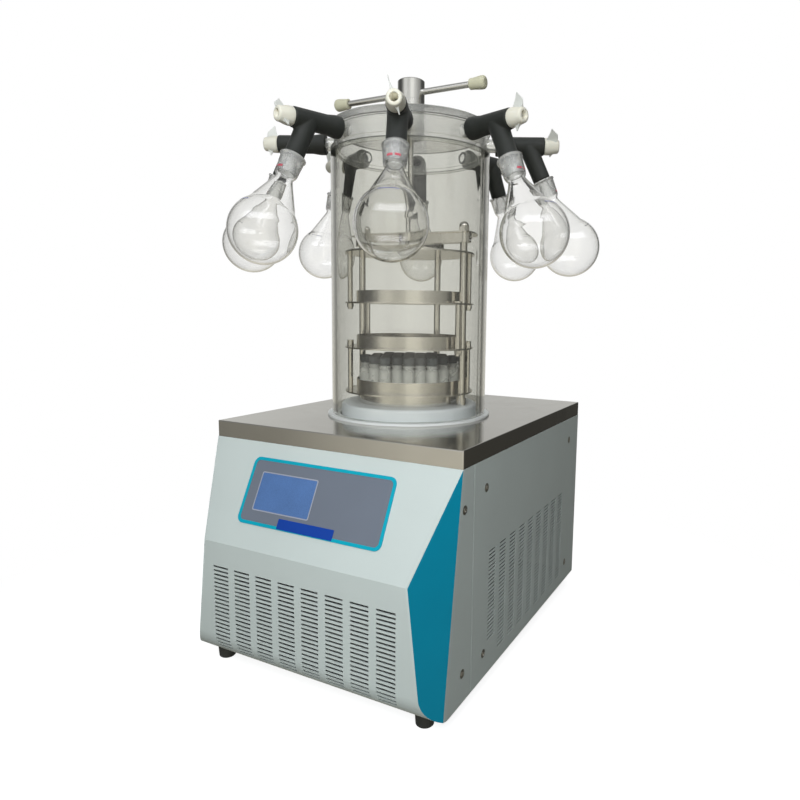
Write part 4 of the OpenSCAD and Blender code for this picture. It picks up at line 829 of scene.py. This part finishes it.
class DRYER_OT_screws(bpy.types.Operator):
    """Puts a cross-head screw at each of the case's screw holes"""
    bl_idname = "dryer.screws"
    bl_label = "Case screws"

    def execute(self, context):
        heads = bmesh.new()
        shank = 6 * MM
        for low, high in clusters("case_screws", 14 * MM):
            centre, size = (low + high) / 2, high - low
            axis = min(range(3), key=lambda i: size[i])
            sign = 1 if centre[axis] > 0 else -1
            out = Vector([sign if i == axis else 0 for i in range(3)])
            outer = high[axis] if sign > 0 else low[axis]
            seat = centre.copy()
            height = size[axis] - shank
            seat[axis] = outer - sign * height
            placed = (Matrix.Translation(seat) @ out.to_track_quat("Z", "Y").to_matrix().to_4x4()
                      @ Matrix.Rotation(seat.y * 40 + seat.z * 90, 4, "Z"))
            radius = sorted(size)[2] / 2
            screw_head(heads, placed, radius * 1.12, height)
            lathe(heads, [(radius, 0), (radius * 1.4, 0), (radius * 1.4, 0.5 * MM),
                          (radius * 1.3, 0.7 * MM), (radius, 0.7 * MM)], 40, placed)
        if not heads.verts:
            raise RuntimeError("the frame has no case screws")
        piece("screw_heads", heads, ["screw_steel"], BODY, ["case_screws"],
              smooth=40)
        return {"FINISHED"}


class DRYER_OT_panel(bpy.types.Operator):
    """Finishes the control panel and adds the display's border and the bare label plate"""
    bl_idname = "dryer.panel"
    bl_label = "Control panel"

    def execute(self, context):
        sizes = context.scene.freeze_dryer.sizes
        dress_all(("panel_frame", "teal_frame", 0.3), ("control_panel", "panel_membrane", 0.1),
                  ("display_screen", "display_glass", 0.1))
        slope = slope_frame()
        to_slope = slope.inverted()
        corners = [to_slope @ v.co for v in NODES["display_screen"].data.vertices]
        top = max(c.z for c in corners)
        face = [c for c in corners if c.z > top - 0.05 * MM]
        low = Vector((min(c.x for c in face), min(c.y for c in face), 0))
        high = Vector((max(c.x for c in face), max(c.y for c in face), 0))
        centre, size = (low + high) / 2, high - low
        border = bmesh.new()
        placed = slope @ Matrix.Translation(centre)
        line = sizes.line_width
        slab(border, round_rectangle(size.x + line, size.y + line, 3.2 * MM), top,
             top + 0.35 * MM, placed,
             round_rectangle(size.x - line, size.y - line, 1.8 * MM))
        piece("screen_border", border, ["screen_line"], BODY)
        label = bmesh.new()
        middle = -sizes.label_drop - sizes.label_height / 2
        placed = slope @ Matrix.Translation((-1.0 * MM, middle, 0))
        slab(label, round_rectangle(sizes.label_width, sizes.label_height, 1.2 * MM), top,
             1.95 * MM, placed)
        plate = piece("label_plate", label, ["label_blue"], BODY)
        modifier(plate, "rim", "BEVEL", width=0.2 * MM, segments=2)
        return {"FINISHED"}


# ---------------------------------------------------------------- machinery

class DRYER_OT_refrigeration(bpy.types.Operator):
    """Finishes the cold trap and the cooling machinery behind the vents"""
    bl_idname = "dryer.refrigeration"
    bl_label = "Refrigeration"

    def execute(self, context):
        dress_all(("cold_trap", "rack_steel", 0), ("trap_insulation", "foam", 0),
                  ("evaporator_coil", "copper", 0), ("compressor", "black_enamel", 0),
                  ("condenser", "fin_aluminium", 0), ("fan_motor", "zinc_sheet", 0.4),
                  ("fan_blade", "fan_plastic", 0.3))
        return {"FINISHED"}


class DRYER_OT_fittings(bpy.types.Operator):
    """Finishes the mains inlet, its switch, the vacuum port and the drain"""
    bl_idname = "dryer.fittings"
    bl_label = "Ports and drain"

    def execute(self, context):
        dress_all(("power_inlet", "black_plastic", 0.3), ("power_switch", "rocker_plastic", 0.3),
                  ("vacuum_port", "hub_steel", 0.4), ("drain_valve", "valve_brass", 0.4),
                  ("drain_lever", "lever_paint", 0.4))
        return {"FINISHED"}


# ---------------------------------------------------------------- chamber

class DRYER_OT_rack(bpy.types.Operator):
    """Finishes the base disc, the seal and the steel rack with its trays"""
    bl_idname = "dryer.rack"
    bl_label = "Rack and trays"

    def execute(self, context):
        sizes = context.scene.freeze_dryer.sizes
        dress_all(("sealing_ring", "seal_silicone", 0.6), ("base_disc", "base_plastic", 0.6))
        for node in ("rack_drum", "rack_posts", "rack_bridge", "acorn_nuts", "press_plate",
                     "shelf_1", "shelf_2", "shelf_3", "tray_1", "tray_2", "tray_3"):
            dress(node, "rack_steel", sizes.steel_edge)
        return {"FINISHED"}


class DRYER_OT_vials(bpy.types.Operator):
    """Finishes the vials and their raised stoppers"""
    bl_idname = "dryer.vials"
    bl_label = "Vials"

    def execute(self, context):
        dress_all(("vials", "vial_glass", 0), ("stoppers", "stopper_rubber", 0))
        return {"FINISHED"}


class DRYER_OT_chamber(bpy.types.Operator):
    """Finishes the acrylic chamber, the manifold ring and the lid"""
    bl_idname = "dryer.chamber"
    bl_label = "Chamber"

    def execute(self, context):
        dress_all(("chamber_tube", "chamber_acrylic", 0), ("manifold_ring", "clear_acrylic", 0),
                  ("lid_plate", "clear_acrylic", 0))
        return {"FINISHED"}


def threaded_rod(mesh_data, low, high, radius, pitch, depth):
    """Rod along Z with one helical thread, closed by flat ends."""
    steps, rise = 24, pitch / 6
    levels = int((high - low) / rise)
    loops = []
    for i in range(levels + 1):
        z = low + (high - low) * i / levels
        cuts = [depth * abs(2 * ((z / pitch - k / steps) % 1.0) - 1) for k in range(steps)]
        loops.append(loop(mesh_data, [turned(radius - cut, turn, z)
                                      for cut, turn in zip(cuts, circle(steps))]))
    stack(mesh_data, loops)


class DRYER_OT_handle(bpy.types.Operator):
    """Makes the press screw's thread and the grips, and finishes the hub and the bar"""
    bl_idname = "dryer.handle"
    bl_label = "Handle and press screw"

    def execute(self, context):
        sizes = context.scene.freeze_dryer.sizes
        dress_all(("hub_base", "hub_steel", 0.4), ("hub_cap", "hub_steel", 0.4),
                  ("t_bar", "hub_steel", 0.8))
        low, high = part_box("press_screw")
        rod = bmesh.new()
        threaded_rod(rod, low.z, high.z, high.x, sizes.thread_pitch, sizes.thread_depth)
        piece("press_screw_thread", rod, ["hub_steel"], "press_screw",
              ["press_screw"], smooth=50)
        low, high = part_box("bar_grips")
        _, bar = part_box("t_bar")
        middle = (low + high) / 2
        grip_r, bar_r, grip_length = high.y, bar.y, 28 * MM
        neck, edge, nose = grip_r * 0.72, 1.2 * MM, 5 * MM
        taper, bar_end = grip_length - 6.5 * MM, grip_length - 6 * MM
        shape = [(bar_r, 0), (neck, 0)] + arc(neck, edge, edge, -90, 0, 4)
        for share in (k / 8 for k in range(1, 9)):
            swell = 0.5 - 0.5 * math.cos(math.pi * share)
            shape.append((neck + edge + (grip_r - neck - edge) * swell, edge + taper * share))
        shape += arc(grip_r - nose, grip_length - nose, nose, 5, 90, 8)
        shape += [(0, grip_length), (0, bar_end), (bar_r, bar_end)]
        grips = bmesh.new()
        for turn in (0, math.pi):
            placed = (Matrix.Translation(middle) @ Matrix.Rotation(turn, 4, "Z")
                      @ Matrix.Translation((high.x - middle.x - grip_length, 0, 0))
                      @ Matrix.Rotation(math.pi / 2, 4, "Y"))
            lathe(grips, shape, 48, placed)
        piece("handle_grips", grips, ["grip_plastic"], "handle",
              ["bar_grips"], smooth=40)
        return {"FINISHED"}


# ---------------------------------------------------------------- valves and flasks

def tee_mesh(sizes):
    """One rubber tee in its port's frame: solid barrel with a cuff, branch and bores."""
    start, edge = 145 * MM, 1 * MM
    size, nozzle = KNOB_SEAT - start, 165 * MM - start      # along the barrel
    barrel_r, cuff_r, cuff = sizes.tee_radius, sizes.tee_radius + 2 * MM, 24 * MM
    nozzle_r, knob_r, duct_r, plug = 11.15 * MM, 10.1 * MM, 8 * MM, 18 * MM
    outside = [(cuff_r - 1.2 * MM, 0), (cuff_r, 1.2 * MM), (cuff_r, cuff * 0.45),
               (barrel_r + 0.6 * MM, cuff * 0.85), (barrel_r, cuff), (barrel_r, size - edge),
               (barrel_r - edge, size)]
    inside = [(knob_r, size), (knob_r, size - plug), (duct_r, size - plug), (duct_r, nozzle),
              (nozzle_r, nozzle), (nozzle_r, 0)]
    data = bmesh.new()
    along = Matrix.Translation((start, 0, 0)) @ Matrix.Rotation(math.pi / 2, 4, "Y")
    lathe(data, outside + inside, 64, along)
    reach, branch_r, hole = sizes.branch_length, sizes.tee_radius - 0.2 * MM, 9.6 * MM
    root, socket = -2 * MM, reach - 24 * MM
    lathe(data, [(0, root), (branch_r - edge, root), (branch_r + 0.6 * MM, 4 * MM),
                 (branch_r, reach * 0.6), (branch_r, reach - edge), (branch_r - edge, reach),
                 (hole, reach), (hole, socket), (0, socket)], 64, branch(sizes))
    return data


class DRYER_OT_valves(bpy.types.Operator):
    """Moulds the eight rubber tees with filleted branches and makes the knobs and wings"""
    bl_idname = "dryer.valves"
    bl_label = "Valves"

    def execute(self, context):
        sizes = context.scene.freeze_dryer.sizes
        helper = put("tee", mesh_from("tee", mended(tee_mesh(sizes))))
        modifier(helper, "mould", "REMESH", mode="VOXEL", voxel_size=sizes.tee_fillet)
        modifier(helper, "soften", "SMOOTH", factor=0.5, iterations=4)
        moulded = helper.evaluated_get(context.evaluated_depsgraph_get()).to_mesh()
        if len(moulded.polygons) < 1000:
            raise RuntimeError("the rubber tee was not moulded")
        data = bmesh.new()
        for joint in PORTS:
            copy = bmesh.new()
            copy.from_mesh(moulded)
            copy.transform(port_frame(joint))
            part = mesh_from("part", copy)
            data.from_mesh(part)
            bpy.data.meshes.remove(part)
        bpy.data.objects.remove(helper)
        piece("rubber_tees", data, ["black_rubber"], BODY, ["valve_tees"],
              smooth=60)
        for joint in PORTS:
            self.knob(joint, sizes)
        return {"FINISHED"}

    @staticmethod
    def knob(joint, sizes):
        """Ivory knob that tapers outwards, with a vent hole and a thin pointed wing."""
        node = "valve_knob_" + joint.split("_")[1]
        axis = port_frame(joint)
        to_axis = axis.inverted()
        points = [to_axis @ v.co for v in NODES[node].data.vertices]
        far = max(point.yz.length for point in points) - 0.2 * MM
        tip = sum((point for point in points if point.yz.length > far), Vector())
        turn = math.radians(WING_RESTS.get(node[-1], math.degrees(math.atan2(-tip.y, tip.z))))
        placed = (axis @ Matrix.Translation((KNOB_SEAT, 0, 0))
                  @ Matrix.Rotation(turn, 4, "X"))
        along = placed @ Matrix.Rotation(math.pi / 2, 4, "Y")
        head = bmesh.new()
        hole, plug_r, plug, gap = 6 * MM, 9.9 * MM, 17 * MM, 0.3 * MM
        wide, reach = sizes.knob_radius, sizes.knob_length
        edge, dome, lip = 1.2 * MM, 3.6 * MM, 0.6 * MM
        shape = [(hole, -plug), (plug_r, -plug), (plug_r, gap), (wide - edge, gap)]
        shape += arc(wide - edge, gap + edge, edge, -90, 0, 4)
        shape += [(wide * share, reach * at) for share, at in KNOB_TAPER]
        shape += arc(wide * 0.74 + 1 * MM - dome, reach - dome, dome, 16, 90, 7)
        shape += [(hole + lip, reach), (hole, reach - lip)]
        lathe(head, shape, 56, along)
        piece("knob_" + node[-1], head, ["ivory_plastic"], node, [node],
              smooth=45)
        blade = bmesh.new()
        for rows in (WING_ABOVE, WING_BELOW):
            fin(blade, rows, placed)
        wing = piece("wing_" + node[-1], blade, ["valve_wing"], node)
        modifier(wing, "rim", "BEVEL", width=0.4 * MM, segments=2)


def fin(mesh_data, rows, placed):
    """Thin blade, thicker near the knob's axis; rows of (height, inner, outer) in mm."""
    loops = []
    for height, inner, outer in rows:
        half = 0.55 + 0.02 * (35 - abs(height)) + 0.09 * max(0.0, 18 - abs(height)) ** 2 / 2
        corners = ((inner, -half), (outer, -half), (outer, half), (inner, half))
        loops.append(loop(mesh_data, [Vector((x, y, height)) * MM for x, y in corners], placed))
    stack(mesh_data, loops)


def flask_profile(sizes):
    """Closed profile down a branch: outside from the lip to the bulb, then the inside."""
    bulb, wall, centre = sizes.flask_bulb, sizes.flask_glass, sizes.flask_drop
    top, end = sizes.branch_length + 1 * MM, sizes.branch_length + 37 * MM
    joint, throat = sizes.flask_joint, sizes.flask_throat
    low_joint, foot, waist, flare = joint - 1.8 * MM, end - 8 * MM, end + 1 * MM, end + 2 * MM
    cone_steps, bulb_steps = 10, 40

    def shoulder(skin):
        """From the ground joint to the throat, on the outside or a wall further in."""
        return [(low_joint - skin - 0.8 * MM, end - 5 * MM),
                (throat - skin + 0.5 * MM, end - 1.5 * MM), (throat - skin, waist)]

    def pear(radius, neck):
        """Cone that touches the bulb's circle, and that circle to the bottom."""
        reach = math.hypot(neck, centre - flare)
        lean = math.acos(radius / reach) - math.pi / 2 + math.acos(neck / reach)
        bulb_line = [(radius * math.sin(turn), centre - radius * math.cos(turn))
                     for turn in (lean + (math.pi - lean) * k / bulb_steps
                                  for k in range(bulb_steps + 1))]
        wide, low = bulb_line[0]
        return [(neck + (wide - neck) * k / cone_steps, flare + (low - flare) * k / cone_steps)
                for k in range(1, cone_steps)] + bulb_line

    lip = joint + 1.6 * MM
    outside = [(joint - wall + 0.4 * MM, top), (lip - 0.8 * MM, top), (lip, top + 0.8 * MM),
               (lip, top + 2.4 * MM), (lip - 0.6 * MM, top + 3.2 * MM),
               (joint, top + 4.5 * MM), (low_joint, foot)]
    clear_side = shoulder(0) + pear(bulb, throat)
    clear_side += (shoulder(wall) + pear(bulb - wall, throat - wall))[::-1]
    bore = [(low_joint - wall, foot), (joint - wall, top + 0.6 * MM)]
    kinds = [1] * len(outside) + [0] * len(clear_side) + [1] * len(bore)
    return outside + clear_side + bore, kinds


class DRYER_OT_flasks(bpy.types.Operator):
    """Blows the eight flasks with frosted joints and fires their marks"""
    bl_idname = "dryer.flasks"
    bl_label = "Flasks"

    def execute(self, context):
        sizes = context.scene.freeze_dryer.sizes
        profile, kinds = flask_profile(sizes)
        glass, red, blue = bmesh.new(), bmesh.new(), bmesh.new()
        for joint in PORTS:
            placed = port_frame(joint) @ branch(sizes)
            lathe(glass, profile, 72, placed, kinds)
            self.band(red, placed, profile, RED_BAND, 5, 34)
            self.band(red, placed, profile, RED_BAND, -34, -5)
            self.band(blue, placed, profile, BLUE_LINE, -18, 18)
        piece("glass_flasks", glass, ["clear_glass", "ground_glass"], BODY,
              ["flasks"], smooth=45)
        piece("red_joint_marks", red, ["red_mark"], BODY)
        piece("blue_graduations", blue, ["blue_mark"], BODY)
        dress("joint_adapters", "ground_glass")
        return {"FINISHED"}

    @staticmethod
    def band(mesh_data, placed, profile, levels, first, last):
        """Thin fired mark, between two angles from the side away from the chamber."""
        def radius(z):
            for (r0, z0), (r1, z1) in zip(profile, profile[1:]):
                if z0 <= z <= z1 and z1 > z0:
                    return r0 + (r1 - r0) * (z - z0) / (z1 - z0)
            raise RuntimeError("a flask mark lies off the glass")

        steps, lift = 12, 0.12 * MM
        rows = [loop(mesh_data, [turned(radius(z) + skin, math.pi + turn, z)
                                 for turn in turns_between(first, last, steps)], placed)
                for z in levels for skin in (lift * 0.3, lift)]
        order = (0, 1, 3, 2)
        for a, b in zip(order, order[1:] + order[:1]):
            for k in range(steps):
                mesh_data.faces.new((rows[a][k], rows[a][k + 1], rows[b][k + 1], rows[b][k]))
        for k in (0, steps):
            mesh_data.faces.new([rows[i][k] for i in order])


# ---------------------------------------------------------------- stage

class DRYER_OT_stage(bpy.types.Operator):
    """Sets the floor, the lights, the surroundings and the camera"""
    bl_idname = "dryer.stage"
    bl_label = "Stage"

    def execute(self, context):
        studio = context.scene.freeze_dryer.studio
        self.floor()
        self.surroundings(studio)
        for name, (place, side, tint) in LAMPS.items():
            self.lamp(name, place, side, getattr(studio, name), tint)
        self.camera(studio)
        context.scene.view_settings.view_transform = "Standard"
        return {"FINISHED"}

    @staticmethod
    def shown_white(graph):
        """1 for rays that show the background, from the camera, gloss and glass, and 1 for
        those that a shiny face has mirrored."""
        path = graph.add("ShaderNodeLightPath").outputs
        seen = graph.maths("MAXIMUM", path["Is Camera Ray"], path["Is Glossy Ray"])
        seen = graph.maths("MAXIMUM", seen, path["Is Transmission Ray"])
        return seen, graph.maths("MINIMUM", path["Glossy Depth"], 1.0)

    def floor(self):
        """Round floor that keeps the object's shadow and fades into the white room."""
        data = bmesh.new()
        bmesh.ops.create_circle(data, cap_ends=True, segments=96, radius=FLOOR_RADIUS)
        floor = put("floor", mesh_from("floor", data))
        paint = bpy.data.materials.new("floor_white")
        paint.use_nodes = True
        paint.node_tree.nodes.clear()
        graph = Graph(paint.node_tree)
        card = graph.out("ShaderNodeBsdfDiffuse", {0: (0.4, 0.4, 0.4, 1.0)})
        dull = graph.out("ShaderNodeBsdfDiffuse", {0: (0.26, 0.25, 0.22, 1.0)})
        glow = graph.out("ShaderNodeEmission", {0: WHITE, 1: 0.84})
        white = graph.out("ShaderNodeEmission", {0: WHITE, 1: 1.0})
        both = graph.out("ShaderNodeAddShader", {0: card, 1: glow})
        faded = graph.blend_shaders(graph.between(graph.size(graph.place()), *FLOOR_FADE),
                                    both, white)
        shown, mirrored = self.shown_white(graph)
        clear_way = graph.blend_shaders(mirrored, faded, graph.out("ShaderNodeBsdfTransparent"))
        mixed = graph.blend_shaders(shown, dull, clear_way)
        graph.add("ShaderNodeOutputMaterial", {0: mixed})
        floor.data.materials.append(paint)

    def surroundings(self, studio):
        """White room; polished metal mirrors it as bright in front and dark at the sides."""
        world = bpy.data.worlds.new("room")
        world.use_nodes = True
        world.node_tree.nodes.clear()
        graph = Graph(world.node_tree)
        way = graph.add("ShaderNodeTexCoord").outputs["Generated"]
        right, behind, up = graph.parts(way)
        ahead = graph.maths("MULTIPLY", behind, -1.0)
        turn = graph.maths("SUBTRACT", graph.maths("ARCTAN2", right, ahead), studio.front)
        share = graph.maths("WRAP", graph.maths("DIVIDE", turn, 2 * math.pi), 0.5, -0.5)
        ramp = graph.add("ShaderNodeValToRGB", {0: graph.maths("ADD", share, 0.5)})
        ramp.color_ramp.interpolation = "EASE"
        points = ramp.color_ramp.elements
        while len(points) < len(ROOM_TONES):
            points.new(0.5)
        for point, (degrees, tone) in zip(points, ROOM_TONES):
            point.position = degrees / 360 + 0.5
            point.color = (tone, tone, tone * 0.97, 1.0)
        height = graph.between(up, -0.7, -0.1, 0.84, 1.2)
        level = graph.out("ShaderNodeCombineColor", {0: height, 1: height, 2: height})
        tone = graph.blend(1.0, ramp.outputs[0], level, "MULTIPLY")
        warm = graph.blend(graph.between(up, -0.35, 0.1), (1.0, 0.95, 0.82, 1.0), WHITE)
        tone = graph.blend(1.0, tone, warm, "MULTIPLY")
        tone = graph.blend(graph.between(up, 0.45, 0.75), tone, ROOM_TOP)
        pane = graph.maths("MULTIPLY", graph.between(up, *PANE_FOOT),
                           graph.between(up, *PANE_HEAD))
        sides = graph.between(graph.maths("ABSOLUTE", share), *PANE_SIDES)
        pane = graph.maths("MULTIPLY", graph.maths("MULTIPLY", pane, sides), studio.window)
        cool = graph.maths("MULTIPLY", pane, 1.08)
        pane = graph.out("ShaderNodeCombineColor", {0: pane, 1: pane, 2: cool})
        tone = graph.blend(1.0, tone, pane, "ADD")
        shown, mirrored = self.shown_white(graph)
        seen = graph.blend(mirrored, WHITE, tone)
        around = graph.blend(graph.between(up, -0.5, 0.7), (1.0, 0.93, 0.8, 1.0),
                             (0.94, 1.0, 1.06, 1.0))
        tint = graph.blend(shown, around, seen)
        strength = graph.between(shown, 0.0, 1.0, studio.ambient, 1.0)
        sky = graph.out("ShaderNodeBackground", {0: tint, 1: strength})
        graph.add("ShaderNodeOutputWorld", {0: sky})
        bpy.context.scene.world = world

    @staticmethod
    def lamp(name, place, side, watts, tint):
        """Square lamp aimed at the middle of the model, out of sight of gloss and glass."""
        data = bpy.data.lights.new(name, "AREA")
        data.size, data.energy, data.color = side, watts, tint
        lamp = put(name, data)
        lamp.location = place
        low, high = CAD_BOX
        aim = (low + high) / 2 - Vector(place)
        lamp.rotation_euler = aim.to_track_quat("-Z", "Y").to_euler()
        lamp.visible_glossy = lamp.visible_transmission = False

    @staticmethod
    def camera(studio):
        """Camera at its place, turned by yaw, pitch and roll, with a shifted picture."""
        data = bpy.data.cameras.new("camera")
        data.lens = studio.lens
        data.sensor_width = 36.0
        data.shift_x, data.shift_y = studio.shift_x, studio.shift_y
        data.clip_start = 0.01
        camera = put("camera", data)
        cos_yaw, sin_yaw = math.cos(studio.yaw), math.sin(studio.yaw)
        cos_pitch, sin_pitch = math.cos(studio.pitch), math.sin(studio.pitch)
        ahead = Vector((-sin_yaw * cos_pitch, cos_yaw * cos_pitch, -sin_pitch))
        right = Vector((cos_yaw, sin_yaw, 0))
        up = right.cross(ahead)
        turned_right = math.cos(studio.roll) * right + math.sin(studio.roll) * up
        turned_up = -math.sin(studio.roll) * right + math.cos(studio.roll) * up
        place = Matrix((turned_right, turned_up, -ahead)).transposed().to_4x4()
        place.translation = studio.place
        camera.matrix_world = place
        bpy.context.scene.camera = camera


# ---------------------------------------------------------------- panel and registration

STEPS = (DRYER_OT_cabinet, DRYER_OT_screws, DRYER_OT_panel, DRYER_OT_refrigeration,
         DRYER_OT_fittings, DRYER_OT_rack, DRYER_OT_vials, DRYER_OT_chamber, DRYER_OT_handle,
         DRYER_OT_valves, DRYER_OT_flasks, DRYER_OT_stage)


class VIEW3D_PT_freeze_dryer(bpy.types.Panel):
    """Lists the dressing's steps in the sidebar"""
    bl_label = "Freeze dryer"
    bl_idname = "VIEW3D_PT_freeze_dryer"
    bl_space_type = "VIEW_3D"
    bl_region_type = "UI"
    bl_category = "Freeze dryer"

    def draw(self, context):
        settings = context.scene.freeze_dryer
        for step in STEPS:
            self.layout.operator(step.bl_idname)
        for family in ("paints", "metals", "glass", "sizes", "studio"):
            values = getattr(settings, family)
            box = self.layout.box()
            for name in values.__annotations__:
                box.prop(values, name)


CLASSES = (DryerPaints, DryerMetals, DryerGlass, DryerSizes, DryerStudio, DryerSettings,
           *STEPS, VIEW3D_PT_freeze_dryer)


def register():
    """Registers the classes and hangs the settings on the scene."""
    for each in CLASSES:
        bpy.utils.register_class(each)
    bpy.types.Scene.freeze_dryer = PointerProperty(type=DryerSettings)


def unregister():
    """Undoes what register did."""
    del bpy.types.Scene.freeze_dryer
    for each in reversed(CLASSES):
        bpy.utils.unregister_class(each)


def main():
    """Runs every step in order."""
    register()
    for each in STEPS:
        family, action = each.bl_idname.split(".")
        getattr(getattr(bpy.ops, family), action)()


if __name__ == "__main__":
    main()
